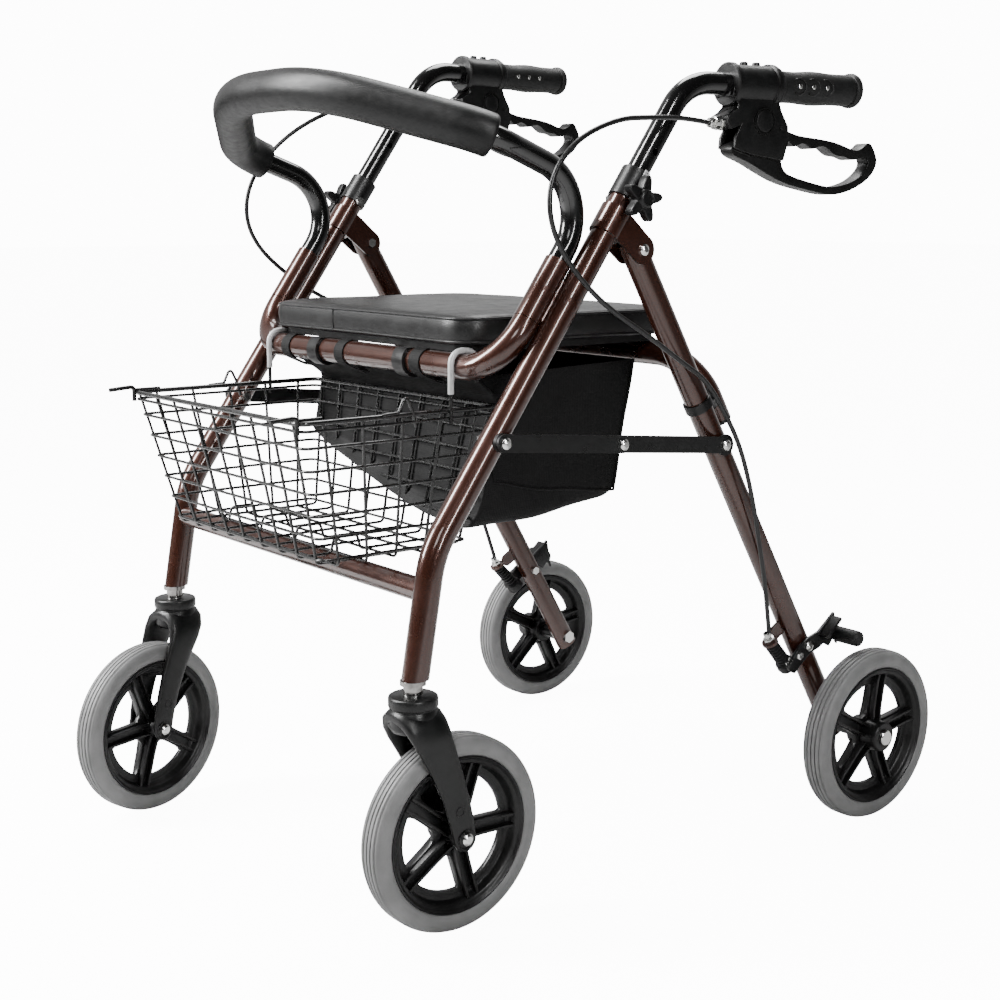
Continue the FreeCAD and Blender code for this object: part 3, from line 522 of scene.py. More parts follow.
# ---------- CAD pieces that stay
KEPT = {  # a * stands for both hands
    "frame_paint": ["front_leg_*", "crossbar", "seat_rail_front", "back_bar_sockets", "fold_brackets",
                    "rear_leg_*", "seat_rail_rear", "brake_brackets"],
    "black_tube": ["back_bar", "handle_tube_*"],
    "zinc_steel": ["frame_bolts", "rear_bolts", "caster_bolts_*"],
    # the bearings take the steel whose colour is darkened as painted shade
    "shade_darkened_steel": ["caster_bearings"],
    "black_plastic": ["rail_end_caps", "rail_saddles", "seat_clips", "link_spacers", "axle_spacers",
                      "seat_board", "leg_collars"],
    "link_paint": ["link_front_*", "link_rear_*"],
}
for slot, names in KEPT.items():
    for name in sorted({name.replace("*", hand) for name in names for _, hand in SIDES}):
        NODES[name].data.materials.clear()
        NODES[name].data.materials.append(MATERIALS[slot].material)
RIVET_R, RIVET_X = 5.6, 254.9  # the head of the rivet that joins the links, and its inner end
rivet_at = place(leg_point(459).lerp(rear_point(431.4), 0.5))
for name in ("link_front_right", "link_front_left"):
    mesh = NODES[name].data
    mesh.materials.append(MATERIALS["zinc_steel"].material)
    for face in mesh.polygons:
        off = (face.center - rivet_at) * 1000
        if hypot(off.y, off.z) < RIVET_R and abs(face.center.x) * 1000 > RIVET_X:
            face.material_index = 1


# ---------- wheels
def turned_by(origin, degrees=0.0):
    """Moves a piece made about its own centre to its place, turned about the vertical."""
    turn = Matrix.Rotation(radians(degrees), 3, "Z")
    return lambda p: Vector(origin) + turn @ p


def mirror_ring(half):
    return half + [(-x, r) for x, r in reversed(half)]


TYRE_HALF = [(0, 92.9), (0.5, 93.1), (0.9, 94.8), (1.5, 95.0), (3.6, 95.0), (4.3, 94.7), (4.7, 93.1),
             (5.2, 92.8), (5.7, 93.1), (6.1, 94.5), (6.8, 94.9), (8.6, 94.5), (9.1, 94.2), (9.5, 92.6),
             (10.0, 92.3), (10.5, 92.5), (10.9, 93.4), (11.4, 93.2), (12.6, 92.1), (14.0, 90.0),
             (15.1, 86.5), (15.5, 82.5), (15.3, 79.5), (14.4, 77.4), (13.3, 76.3)]
BAND_HALF = [(13.0, 76.4), (14.0, 76.0), (14.4, 74.8), (13.8, 73.6), (12.4, 73.0), (11.4, 71.6),
             (10.9, 69.3), (9.6, 68.2), (4.6, 66.8), (2.7, 65.4), (2.6, 62.0)]
SPOKES = 5
SPOKE_STEP = 2 * pi / SPOKES
SPOKE_HALF = 8.5
DISC_R, DISC_HALF = 66.0, 2.4
WINDOW_IN, WINDOW_OUT = 23.0, 57.0
RIB_APART, RIB_THICK = 5.6, 1.3
RIB = [(30, 8.6), (60, 8.2), (69.5, 9.4)]  # radius and half width, from the hub outwards


def wheel_ring(profile):
    return ring(profile, (0, 0, 0), (1, 0, 0), 96)


def window_outline(turn):
    """One opening between two spokes, with rounded corners."""
    points = []
    for r, count, way in ((WINDOW_OUT, 9, 1), (WINDOW_IN, 3, -1)):
        half = max(SPOKE_STEP / 2 - asin(SPOKE_HALF / r), 0.02) * way
        for k in range(count):
            a = turn - half + 2 * half * k / (count - 1)
            points.append((r * cos(a), r * sin(a)))
    return chaikin(points)


def rim_parts(hub_in, hub_out, hub_r, turn):
    """Band, disc with windows, two ribs on each spoke, and the hub."""
    turn = radians(turn)
    windows = [window_outline(turn + SPOKE_STEP * (k + 0.5)) for k in range(SPOKES)]
    parts = [wheel_ring(mirror_ring(BAND_HALF)), flat(circle(DISC_R, 80), -DISC_HALF, DISC_HALF, windows)]
    shape = [(hub_r - 3, 10.5)] + RIB
    loop = shape + [(r, -x) for r, x in reversed(shape)]
    for k in range(SPOKES):
        c, s = cos(turn + SPOKE_STEP * k), sin(turn + SPOKE_STEP * k)
        way, across = vec(0, c, s), vec(0, -s, c)
        for off in (-RIB_APART, RIB_APART):
            verts = []
            for thick in (-RIB_THICK, RIB_THICK):
                verts += [way * r + across * (off + thick) + vec(x, 0, 0) for r, x in loop]
            parts.append((verts, caps(2, len(loop)) + quads(2, len(loop))))
    parts.append(wheel_ring([
        (-hub_in, 5.2), (-hub_in, hub_r - 1.2), (-hub_in + 1.2, hub_r), (-8, hub_r + 1.5),
        (8, hub_r + 1.5), (hub_out - 6, hub_r), (hub_out - 1.2, hub_r), (hub_out, hub_r - 1.2),
        (hub_out, 9.0), (hub_out - 1.6, 8.6), (hub_out - 1.6, 5.2)]))
    return parts


def wheel(kind, hand, side, move, hub):
    """A wheel made about its own centre; hub gives rim_parts its measures."""
    body = f"{kind}_wheel_{hand}"
    name = f"{kind}_tyre_{hand}"
    piece(name + "_tread", [wheel_ring(mirror_ring(TYRE_HALF)[1:])], "grey_tyre", body, [name],
          move=move, side=side, angle=50)
    name = f"{kind}_rim_{hand}"
    bevelled(piece(name + "_spoked", rim_parts(*hub), "wheel_plastic", body, [name], move=move,
                   side=side), 0.6, 2, 50)


def stem_move(side):
    """From about the caster's stem to its place on one side."""
    return turned_by((SIDE_X, CASTER_Y, 0), LEFT_CASTER_TURN if side < 0 else 0.0)


CASTER_TRAIL = 42.0
REAR_WHEEL_X = 289
LEFT_CASTER_TURN = -194.0  # in the mirrored copy the turn goes the other way
for side, hand in SIDES:
    wheel("rear", hand, side, turned_by((REAR_WHEEL_X, AXLE.y, WHEEL_R)), (17.0, 23.0, 16.5, 8))
    stem = stem_move(side)
    wheel("front", hand, side, lambda p: stem(p + vec(0, CASTER_TRAIL, WHEEL_R)),
          (17.0, 17.0, 11.0, -2))


# ---------- caster forks
FORK = [  # across, height, trail, width, thickness: from the foot of one prong up to the crown
    (20.9, 82.6, 42.0, 4, 5.5), (20.9, 83.6, 42.0, 11, 6.6), (20.9, 86, 42.0, 18, 7.2),
    (20.9, 90, 42.0, 22.5, 7.3), (20.9, 96, 41.6, 25.0, 7.3), (20.9, 112, 38.5, 27, 7.3),
    (20.9, 135, 32.0, 29.5, 7.5), (21.2, 158, 23.5, 33, 8.0), (22.0, 178, 14.5, 37, 9.0),
    (22.3, 192, 8.0, 41, 10.5), (21.0, 203, 3.6, 44, 12.5), (16.5, 212, 1.0, 46, 15.5),
    (9.0, 217, 0.0, 47, 17.5), (0.0, 218.5, 0.0, 47.5, 18.5)]


def fork_parts():
    stations = FORK + [(-s[0],) + s[1:] for s in reversed(FORK[:-1])]
    path = [vec(s[0], 0, s[1]) for s in stations]
    verts = []
    around = 28
    for i, (_, _, trail, width, thick) in enumerate(stations):
        way = (path[min(i + 1, len(path) - 1)] - path[max(i - 1, 0)]).normalized()
        out = vec(way.z, 0, -way.x)
        for c, d in circle(1, around):
            wide = copysign(abs(c) ** 0.62, c) * width / 2
            deep = copysign(abs(d) ** 0.75, d) * thick / 2
            verts.append(path[i] + vec(0, trail + wide, 0) + out * deep)
    rows = len(stations)
    crown = [(236.0, 5.3), (236.0, 21.0), (235.2, 22.4), (233.8, 23.0), (226.4, 23.0), (225.4, 22.4),
             (224.8, 21.2), (224.0, 21.2), (223.2, 22.2), (216, 22.4), (208, 23.4), (203, 20), (200, 5.3)]
    parts = [(verts, quads(rows, around) + caps(rows, around)), ring(crown, (0, 0, 0), (0, 0, 1))]
    for s in (-1, 1):  # the round face for the axle bolt and the plugged hole above it
        parts.append(ring([(0, 4.2), (0, 9.4), (0.5, 9.9), (-3, 10.4), (-3, 4.2)],
                          (s * 24.6, CASTER_TRAIL, WHEEL_R), (s, 0, 0), 40))
        parts.append(ring([(0.7, 3.4), (0.7, 5.0), (-2, 5.4), (-2, 3.4)],
                          (s * 24.4, CASTER_TRAIL - 7, WHEEL_R + 28), (s, 0, 0), 32))
    return parts


for side, hand in SIDES:
    piece(f"caster_fork_{hand}_shell", fork_parts(), "wheel_plastic", f"caster_{hand}",
          [f"caster_fork_{hand}"], move=stem_move(side), side=side, angle=50)


# ---------- handles
CORNER = leg_point(GRIP_Z)


def handle_move(side):
    """From the straight layout to the splayed handle, raised on the left."""
    turn = Matrix.Rotation(-HANDLE_SPLAY, 3, "Z")
    return lambda p: CORNER + turn @ (p - CORNER) + lift_of(side)


GRIP = [(0, 11.3), (0, 18.3), (0.9, 19.4), (3.0, 19.6), (4.2, 18.8), (5.4, 17.0), (9, 16.0), (18, 15.5),
        (30, 15.5), (42, 16.4), (52, 17.0), (62, 16.8), (74, 16.0), (86, 15.7), (97, 15.9), (102.6, 16.1),
        (103.2, 15.2), (105.0, 15.2), (105.6, 16.6), (107.5, 17.5), (110.5, 17.7), (112.8, 17.0),
        (114, 15.2), (114, 0.02)]
GRIP_START = 432.0
DOTS = (25.5, 44.0, 62.5)
DOT_ARC = 8.5
LEVER_HALF = 8.5
HOUSING_HALF = 13.0
LEVER_PIVOT = vec(SIDE_X, 414.0, 754.0)
HOUSING_SIDE = [(375, 800), (375, 792), (372, 778), (380, 769), (379, 765), (366, 758), (367, 751),
                (371, 745), (384, 750), (377, 738), (376, 727), (388, 723.5), (400, 721), (441, 716),
                (447, 735), (446, 750),
                (437, 764), (431, 778), (431, 800)]
LEVER_OUT = [(402, 764), (424, 766), (434, 756), (442, 748), (455, 743.5), (467, 741), (492, 739), (517, 736),
             (534, 731), (547, 727.5), (556, 731), (563, 737), (569, 735), (577, 722), (577, 714), (571, 704),
             (560, 696), (545, 689), (530, 684.5), (512, 682), (480, 687), (445, 694), (420, 704), (398, 714),
             (378, 720), (374, 727), (382, 733), (400, 738)]
LEVER_IN = [(446, 737), (453, 734.5), (459, 729.5), (466, 733), (474, 734), (484, 727.5), (493, 731.5),
            (503, 731.5), (516, 722.5), (530, 722), (541, 718), (551, 720), (559, 723), (565, 719),
            (565, 712), (557, 704), (545, 697), (530, 692.5), (511, 690), (480, 695.5), (452, 702),
            (444, 708), (441, 718)]
HOUSING_BRIDGES = [  # plates between the two cheeks
    [(375, 800), (372, 778), (380, 769), (431, 770), (431, 800)],
    [(366, 758), (367, 751), (371, 745), (396, 750), (396, 769), (380, 769)],
    [(376, 727), (400, 721), (400, 719), (378, 725)]]
CLAMP_R = 20.0
KNOB_Z, WINDOW_Z = 677, 697  # heights on the leg of the knob and of the collar's window
KNOB_LOBES = 5

for side, hand in SIDES:
    body = f"handle_{hand}"
    put = partial(piece, side=side, move=handle_move(side))
    parts = [lathe(GRIP, (SIDE_X, GRIP_START, GRIP_Z), (0, 1, 0), 72)]
    for at in DOTS:  # raised arcs round each dot
        arc = []
        for k in range(25):
            a = -2.2 + 4.4 * k / 24
            along = DOT_ARC * cos(a)
            turn = DOT_ARC * sin(a) / 16.5
            r = 16.2 if abs(along + at - 52) > 14 else 16.7
            arc.append(vec(SIDE_X + r * cos(turn), GRIP_START + at + along, GRIP_Z + r * sin(turn)))
        parts.append(sweep(arc, 0.8, 8))
    put(f"grip_{hand}_moulded", parts, "rubber", body, [f"grip_{hand}"])
    dot = [(1.3, 0.02), (1.2, 1.7), (0.8, 2.4), (-2.5, 2.4)]
    put(f"grip_{hand}_studs", [lathe(dot, (SIDE_X + s * 16.2, GRIP_START + at, GRIP_Z), (s, 0, 0), 20)
                               for s in (1, -1) for at in DOTS], "zinc_steel", body)

    slot = LEVER_HALF + 0.8
    cheeks = [flat(HOUSING_SIDE, SIDE_X - HOUSING_HALF, SIDE_X - slot),
              flat(HOUSING_SIDE, SIDE_X + slot, SIDE_X + HOUSING_HALF)]
    cheeks += [flat(bridge, SIDE_X - slot, SIDE_X + slot) for bridge in HOUSING_BRIDGES]
    bevelled(put(f"brake_housing_{hand}_body", cheeks, "black_plastic", body,
                 [f"brake_housing_{hand}"]), 1.3, 3, 40)
    clamp = [(374, 11.2), (374, CLAMP_R), (375, CLAMP_R + 1.2), (379.5, CLAMP_R + 1.2),
             (380.6, CLAMP_R - 0.6), (425.4, CLAMP_R - 0.6), (426.5, CLAMP_R + 1.2),
             (431, CLAMP_R + 1.2), (432, CLAMP_R), (432, 11.2)]
    details = [ring(clamp, (SIDE_X, 0, GRIP_Z), (0, 1, 0))]
    for s in (-1, 1):
        boss = [(-0.5, 0.02), (1.2, 0.02), (1.6, 9), (1.0, 10.6), (0.2, 11.0), (0.2, 11.6), (1.3, 12.0),
                (1.3, 13.2), (-0.5, 13.8)]
        details.append(lathe(boss, LEVER_PIVOT + vec(s * HOUSING_HALF, 0, 0), (s, 0, 0), 48))
        pin = [(-0.5, 2.6), (0.9, 2.4), (1.2, 1.4), (1.2, 0.02)]
        details.append(lathe(pin, (SIDE_X + s * HOUSING_HALF, 437, 748), (s, 0, 0), 24))
    screw = [(0, 4.2), (2.4, 4.0), (3.2, 3.0), (3.2, 0.02)]
    details += [lathe(screw, (SIDE_X, y, GRIP_Z + CLAMP_R - 1), (0, 0, 1), 24) for y in (396, 412)]
    put(f"brake_housing_{hand}_clamp", details, "black_plastic", body)
    barrel = [(352.4, 2.6), (352.4, 4.2), (353.4, 5.0), (357, 5.0), (357.4, 4.3), (358.2, 4.3), (358.6, 6.6),
              (364.5, 6.6), (365.0, 5.2), (366.4, 5.2), (366.8, 7.4), (371.5, 7.4), (372, 6.6), (372, 2.6)]
    put(f"brake_housing_{hand}_barrel", [ring(barrel, (SIDE_X, 0, 751.5), (0, 1, 0), 12)],
        "zinc_steel", body, angle=25)
    loop = flat(chaikin(LEVER_OUT), SIDE_X - LEVER_HALF, SIDE_X + LEVER_HALF, [chaikin(LEVER_IN)])
    bevelled(put(f"brake_lever_{hand}_loop", [loop], "black_plastic", f"lever_{hand}",
                 [f"brake_lever_{hand}"]), 1.8, 4, 60)

    # the five-lobed clamping knob
    knob_at = leg_point(KNOB_Z, SIDE_X + TUBE_R + 2.4)
    star = []
    for k in range(60):
        a = 2 * pi * k / 60
        lobe = (0.5 + 0.5 * cos(KNOB_LOBES * (a - radians(4)))) ** 1.25
        r = 10.4 + 12.0 * lobe
        star.append((knob_at.y + r * cos(a), knob_at.z + r * sin(a)))
    star_x = knob_at.x + 7.5
    bevelled(piece(f"clamp_knob_{hand}_star", [flat(star, star_x, star_x + 9.5)], "black_plastic",
                   f"knob_{hand}", [f"clamp_knob_{hand}"], side=side), 2.2, 4, 50)
    hub = [(0.2, 0.02), (0.2, 6.0), (5.5, 6.4), (7.8, 9.0), (16.0, 9.6), (19.0, 9.0), (20.6, 7.6),
           (21.0, 6.4), (19.8, 5.4), (19.6, 0.02)]
    piece(f"clamp_knob_{hand}_hub", [lathe(hub, knob_at, (1, 0, 0), 40)], "black_plastic",
          f"knob_{hand}", side=side)

    # the little framed window on the collar above the knob
    window_at = leg_point(WINDOW_Z, 0)
    back = LEG_DIR.cross(vec(1, 0, 0))

    def on_collar(x, a, b):
        return window_at + back * a + LEG_DIR * b + vec(SIDE_X + x, 0, 0)
    outer, hole = ([(-a, -b), (a, -b), (a, b), (-a, b)] for a, b in ((3.4, 6.6), (1.8, 5.0)))
    window = piece(f"collar_window_{hand}", [flat(outer, 14.2, 16.0, [hole], on_collar),
                                             flat(hole, 14.2, 15.0, [], on_collar)],
                   "zinc_steel", "front_frame", side=side)
    window.data.materials[0] = HOOK_SLEEVE.material
    bevelled(window, 0.4, 2, 40)


# ---------- brakes
BRAKE_PIVOT = rear_point(196.0)
ARM_X0 = SIDE_X + 12.0
ARM = [(485, 172), (493, 168), (502, 176), (516, 186.5), (532, 191), (539, 195), (548, 190), (556, 199.5),
       (562, 190), (555, 228), (550, 224), (530, 209.5), (513, 205), (500, 198), (486, 183), (482, 177)]
BOOT_RIBS, BOOT_R = 8, 5.4
for side, hand in SIDES:
    body = f"brake_{hand}"
    put = partial(piece, side=side)
    bore = circle(3.1, 24, (BRAKE_PIVOT.y, BRAKE_PIVOT.z))
    bevelled(put(f"brake_arm_{hand}_plate", [flat(ARM, ARM_X0, ARM_X0 + 4.0, [bore])], "link_paint",
                 body, [f"brake_arm_{hand}"]), 0.7, 2, 40)
    flange = flat([(530, 206), (552, 225), (554.5, 222.5), (534, 203)], ARM_X0 + 3, ARM_X0 + 16)
    bevelled(put(f"brake_arm_{hand}_flange", [flange], "link_paint", body), 0.6, 2, 40)
    shoe = [(0, 0.02), (0, 6.5), (1.2, 8.2), (3, 8.8), (31, 8.8), (33.5, 8.2), (35, 6.5), (35, 0.02)]
    put(f"brake_shoe_{hand}", [lathe(shoe, (ARM_X0 + 3.8, 557.5, 203.5), (1, 0, 0), 36)], "rubber", body)
    bolt = [(0.0, 0.02), (0.0, 5.0), (1.0, 5.0), (2.6, 3.8), (3.0, 0.02)]
    put(f"brake_arm_{hand}_screw", [lathe(bolt, (ARM_X0 + 4.0, 499.5, 187.5), (1, 0, 0), 6)],
        "zinc_steel", body, angle=25)

    # ribbed rubber boot, its cup and the adjusters at both ends
    top = STOP + REAR_DIR * 2.6
    foot = BRAKE_PIVOT - REAR_SIDE * 30 + REAR_DIR * 2
    low = vec(SIDE_X + 3.5, foot.y, foot.z)
    way = low - top
    pitch = way.length / BOOT_RIBS
    profile = [(0, 0.02), (0, 5.6)]
    for k in range(BOOT_RIBS):
        at = pitch * (k + 0.5)
        rib_r = 7.6 + 0.6 * k / BOOT_RIBS
        profile += [(at - pitch * 0.375, BOOT_R), (at - pitch * 0.175, rib_r),
                    (at + pitch * 0.175, rib_r), (at + pitch * 0.375, BOOT_R)]
    profile += [(way.length - 0.4, BOOT_R), (way.length - 0.4, 0.02)]
    boot = put(f"brake_boot_{hand}", [lathe(profile, top, way, 32)], "rubber", "rear_frame",
               ["brake_boots"], angle=50)
    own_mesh(boot)
    cup = [(-2, 0.02), (-2, 9.0), (-1, 10.0), (5, 10.6), (8.5, 9.8), (9.5, 7.5), (9.5, 0.02)]
    put(f"brake_cup_{hand}", [lathe(cup, low, way, 36)], "black_plastic", body)
    nut = [(-3.4, 3.0), (-3.4, 5.4), (1.4, 5.4), (1.4, 3.0)]
    pin = [(0, 0.02), (0, 2.6), (2.6, 2.2), (3, 0.02)]
    nut_place = (low + vec(7.5, 0, 2), (1, -0.2, 0.1))
    put(f"brake_cup_nut_{hand}", [ring(nut, *nut_place, 6), lathe(pin, *nut_place, 20)],
        "zinc_steel", body, angle=25)
    adjuster = [(-13, 2.7), (-13, 3.8), (-12, 4.2), (-7.4, 4.2), (-7, 3.4), (-6.4, 3.4), (-6, 6.2),
                (-1.8, 6.2), (-1.8, 2.7)]
    put(f"cable_adjuster_{hand}", [ring(adjuster, STOP, REAR_DIR, 6)], "zinc_steel", "rear_frame",
        angle=25)


# ---------- back pad
PAD_ROUTE = [(228, 90, 733), (79, -2, 779), (-79, -2, 779), (-228, 90, 733)]
PAD_END = 33.0
BAR_CORNER = leg_point(685.0, 222) - vec(0, 22.0 / LEG_DIR.z, 0)
start = Vector(PAD_ROUTE[0]) + (BAR_CORNER - Vector(PAD_ROUTE[0])).normalized() * PAD_END
pad_points = [start] + [Vector(p) for p in PAD_ROUTE] + [start * vec(-1, 1, 1)]
PAD_SHORT = 27.0  # the sleeve stops earlier at its right end


def shortened(line, cut):
    """The line without its first part."""
    while (line[1] - line[0]).length <= cut:
        cut -= (line[1] - line[0]).length
        line = line[1:]
    return [line[0] + (line[1] - line[0]).normalized() * cut] + line[1:]


pad_line = shortened(arc_route(pad_points, [58, 190, 190, 58], 5.0), PAD_SHORT)
PAD_R = 20.1
PAD_EDGE = [(0, 11.2), (0, 17.6), (0.5, 18.9), (1.6, 19.7)]  # (inwards, radius) at both ends


def pad_parts():
    """A thick foam sleeve with flat, slightly rounded ends and the tube's hole in them."""
    axes = frames_along(pad_line)
    around = 40
    first_way = (pad_line[1] - pad_line[0]).normalized()
    last_way = (pad_line[-1] - pad_line[-2]).normalized()
    stations = [(pad_line[0] + first_way * t, axes[0], r) for t, r in PAD_EDGE]
    stations += [(p, pair, PAD_R) for p, pair in zip(pad_line[1:-1], axes[1:-1])]
    stations += [(pad_line[-1] - last_way * t, axes[-1], r) for t, r in reversed(PAD_EDGE)]
    verts = []
    for station in stations:
        verts += ring_points(*station, around)
    return [(verts, quads(len(stations), around))]


pad = piece("back_pad_sleeve", pad_parts(), "foam", "front_frame", ["back_pad"], angle=55)


# ---------- seat cushion
SEAT_HALF = 180.0
SEAT_FRONT, SEAT_BACK = 95.0, 366.0
CUSHION_LOW, CUSHION_TOP = 541.4, 569.0
SEAT_MID = (SEAT_FRONT + SEAT_BACK) / 2
SEAT_DEPTH = (SEAT_BACK - SEAT_FRONT) / 2
CORNER_R = 30.0
SEAT_STEPS = 26  # points along each side of the plan
SIDE_PULL = 3.2  # how far a side pulls in at its middle


def seat_outline(inset):
    """The cushion's plan, anticlockwise: sides that pull in a little between rounded corners."""
    points = []
    hx, hy, r = SEAT_HALF - inset, SEAT_DEPTH - inset, CORNER_R - inset * 0.4
    corners = [(1, 1, 0), (-1, 1, 90), (-1, -1, 180), (1, -1, 270)]

    def on_corner(corner, degrees):
        a = radians(corner[2] + degrees)
        return corner[0] * (hx - r) + r * cos(a), corner[1] * (hy - r) + r * sin(a)
    for corner, following in zip(corners, corners[1:] + corners[:1]):
        points += [on_corner(corner, 90 * k / 8) for k in range(9)]
        last, goal = points[-1], on_corner(following, 0)
        for k in range(1, SEAT_STEPS):
            t = k / SEAT_STEPS
            pull = SIDE_PULL * swell(t)
            x, y = last[0] + (goal[0] - last[0]) * t, last[1] + (goal[1] - last[1]) * t
            if abs(goal[0] - last[0]) > abs(goal[1] - last[1]):
                y -= copysign(pull, y)
            else:
                x -= copysign(pull, x)
            points.append((x, y))
    return points


def cushion_parts():
    """Rings from the underside, up the boxing and over the crowned top."""
    height = CUSHION_TOP - CUSHION_LOW
    edge = seat_outline(0)
    profile = [(30, 0.0), (8, 0.0), (2.4, 0.4), (1.0, 2.0), (0.2, 4.0), (-0.3, height * 0.35),
               (-0.6, height * 0.55), (0.0, height * 0.78), (0.8, height - 3.6), (1.6, height - 2.4),
               (3.0, height - 0.9), (6, height + 0.2), (12, height + 1.3), (24, height + 2.4),
               (44, height + 3.4), (70, height + 4.0), (98, height + 4.3), (120, height + 4.4)]
    verts = []
    for inset, z in profile:
        for x, y in edge:
            px, py = x * (SEAT_HALF - inset) / SEAT_HALF, y * (SEAT_DEPTH - inset) / SEAT_DEPTH
            pz = CUSHION_LOW + z
            out = atan2(py, px)
            if 0 < z < height:  # wrinkles of the boxing near the corners
                corner = exp(-((abs(px) - 150) / 24) ** 2) * (1 if abs(py) > 90 else 0.3)
                wrinkle = 0.9 * corner * sin(px * 0.55) * swell(z / height)
                px += wrinkle * cos(out)
                py += wrinkle * sin(out)
            elif z > height:
                pz += 0.5 * sin(px * 0.045 + 1) * sin(py * 0.05) * min(1, inset / 30)
            verts.append(vec(px, py + SEAT_MID, pz))
    rows, n = len(profile), len(edge)
    return [(verts, quads(rows, n) + caps(rows, n))]


def seat_loop(inset, z):
    return [vec(x, y + SEAT_MID, z) for x, y in seat_outline(inset)]


cushion = piece("seat_cushion_cover", cushion_parts(), "vinyl", "seat", ["seat_cushion"], angle=60)
piping = [sweep(seat_loop(inset, z), 1.3, 8, closed=True)
          for inset, z in ((0.4, CUSHION_TOP - 3.0), (0.3, CUSHION_LOW + 2.6))]
piece("seat_piping", piping, "vinyl", "seat", angle=60)


def stitches(line, length=3.0, gap=1.6, r=0.42):
    """Short raised thread stitches along a line."""
    made = []
    run = 0.0
    for a, b in zip(line, line[1:]):
        way = b - a
        while run < way.length:
            p = a + way * (run / way.length)
            q = a + way * (min(run + length, way.length) / way.length)
            if (q - p).length > 0.8:
                made.append(sweep([p, p.lerp(q, 0.5), q], [r * 0.5, r, r * 0.5], 6))
            run += length + gap
        run -= way.length
    return made


thread = []
for inset, z in ((5.0, CUSHION_TOP - 0.4), (0.1, CUSHION_TOP - 6.2)):
    loop = seat_loop(inset, z)
    thread += stitches(loop + loop[:1])
thread.append(sweep([vec(-52.0, SEAT_FRONT + 2.4, z)  # the seam that closes the boxing
                     for z in (CUSHION_LOW + 3, CUSHION_LOW + 10, CUSHION_LOW + 18, CUSHION_TOP - 4)],
                    0.9, 8))
piece("seat_stitching", thread, "vinyl", "seat", angle=60)


# ---------- bag under the seat
BAG = [  # across, front bottom (y, z), back bottom (y, z): the bag hangs lower on its right
    (-160, 142, 440, 300, 412), (-150, 126, 428, 300, 404), (-110, 123, 413, 300, 398),
    (-60, 122, 398, 298, 391), (0, 120, 381, 296, 384), (60, 120, 366, 296, 378),
    (110, 120, 360, 296, 374), (150, 122, 362, 298, 374), (161, 146, 405, 302, 381)]
BAG_HALF = 161.0
BAG_TOP_FRONT = (121.0, 509.0)
BAG_TOP_BACK = (328.0, 516.0)
RIM = (-76.0, 146.0, 166.0, 480.0)  # the wire basket: front, back, half width, height
FLOOR = (-42.0, 122.0, 144.0, 344.0)


def behind_basket(y, z):
    """The bag's front hangs behind the back wall of the basket."""
    wall = FLOOR[1] + (z - FLOOR[3]) * (RIM[1] - FLOOR[1]) / (RIM[3] - FLOOR[3]) + 4
    return max(y, min(wall, BAG_TOP_FRONT[0] + 1.4 * (BAG_TOP_FRONT[1] - z)))


def bag_parts():
    """A lofted pouch: a U-shaped profile at each station, closed by a panel at each end."""
    fronts = spline_points([vec(s[0], s[1], s[2]) for s in BAG])
    backs = spline_points([vec(s[0], s[3], s[4]) for s in BAG])
    (front_y, front_z), (back_y, back_z) = BAG_TOP_FRONT, BAG_TOP_BACK
    verts = []
    down, under = 14, 16
    for f, b in zip(fronts, backs):
        x = f.x
        ease = swell((x / BAG_HALF + 1) / 2) if abs(x) < BAG_HALF else 0
        for k in range(down):
            t = k / down
            crease = 1.8 * sin(x * 0.07 + 5 * t) + 1.2 * sin(x * 0.19 - 7 * t)
            y = front_y + (f.y - front_y) * t - (5.0 * ease + crease) * swell(t)
            z = front_z + (f.z - front_z) * t
            verts.append(vec(x, behind_basket(y, z), z))
        for k in range(under):
            t = k / under
            sag = (7.0 * (0.5 + ease) + 1.4 * sin(x * 0.11 + 9 * t)) * swell(t)
            verts.append(vec(x, f.y + (b.y - f.y) * t, f.z + (b.z - f.z) * t - sag))
        for k in range(down + 1):
            t = k / down
            bulge = (4.0 * ease + 1.5 * sin(x * 0.09 + 6 * t)) * swell(t)
            verts.append(vec(x, b.y + (back_y - b.y) * t + bulge, b.z + (back_z - b.z) * t))
    n = down * 2 + under + 1
    faces = quads(len(fronts), n, round_width=False)
    borders = [verts[:n], verts[-n:]]
    rows = 12
    for out, border in zip((-1, 1), borders):  # the end panels, as strips from front to back
        first = len(verts)
        for r in range(rows + 1):
            t = r / rows
            top = vec(border[0].x, front_y + (back_y - front_y) * t, front_z + (back_z - front_z) * t)
            low = border[down + round(under * t)]
            for c in range(down + 1):
                s = c / down
                p = border[c].copy() if r == 0 else border[-1 - c].copy() if r == rows else top.lerp(low, s)
                p.x += out * (3.0 + 1.3 * sin(9 * t + 4 * s)) * swell(t) * swell(s)
                p.y = max(p.y, border[c].y + 10 * t)
                verts.append(p)
        faces += quads(rows + 1, down + 1, round_width=False, first=first)
    return [(verts, faces)], borders


bag_shape, bag_borders = bag_parts()
bag = piece("under_seat_bag_pouch", bag_shape, "nylon", None, angle=70)
modified(bag, "SOLIDIFY", thickness=0.0012, offset=0)
modified(bag, "SUBSURF", levels=1, render_levels=1)
smooth(bag.data, 75)
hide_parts("under_seat_bag")
binding = piece("under_seat_bag_binding", [sweep([p + vec(0.4 * out, 0, 0) for p in border], 1.5, 8)
                                           for out, border in zip((-1, 1), bag_borders)],
                "nylon", None, angle=70)
for obj in (bag, binding):
    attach(obj, "front_frame")
    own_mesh(obj)
RAIL_Z = 521.0
RAIL_Y = leg_point(RAIL_Z).y - 22.0 / cos(LEG_TILT)
LOOP_R, LOOP_INNER_R = 14.0, 12.9


def round_rail(r):
    """The part of a circle round the front rail that a fabric loop covers."""
    angles = [radians(-60 + 300 * k / 28) for k in range(29)]
    return [(RAIL_Y - r * cos(a), RAIL_Z + r * sin(a)) for a in angles]


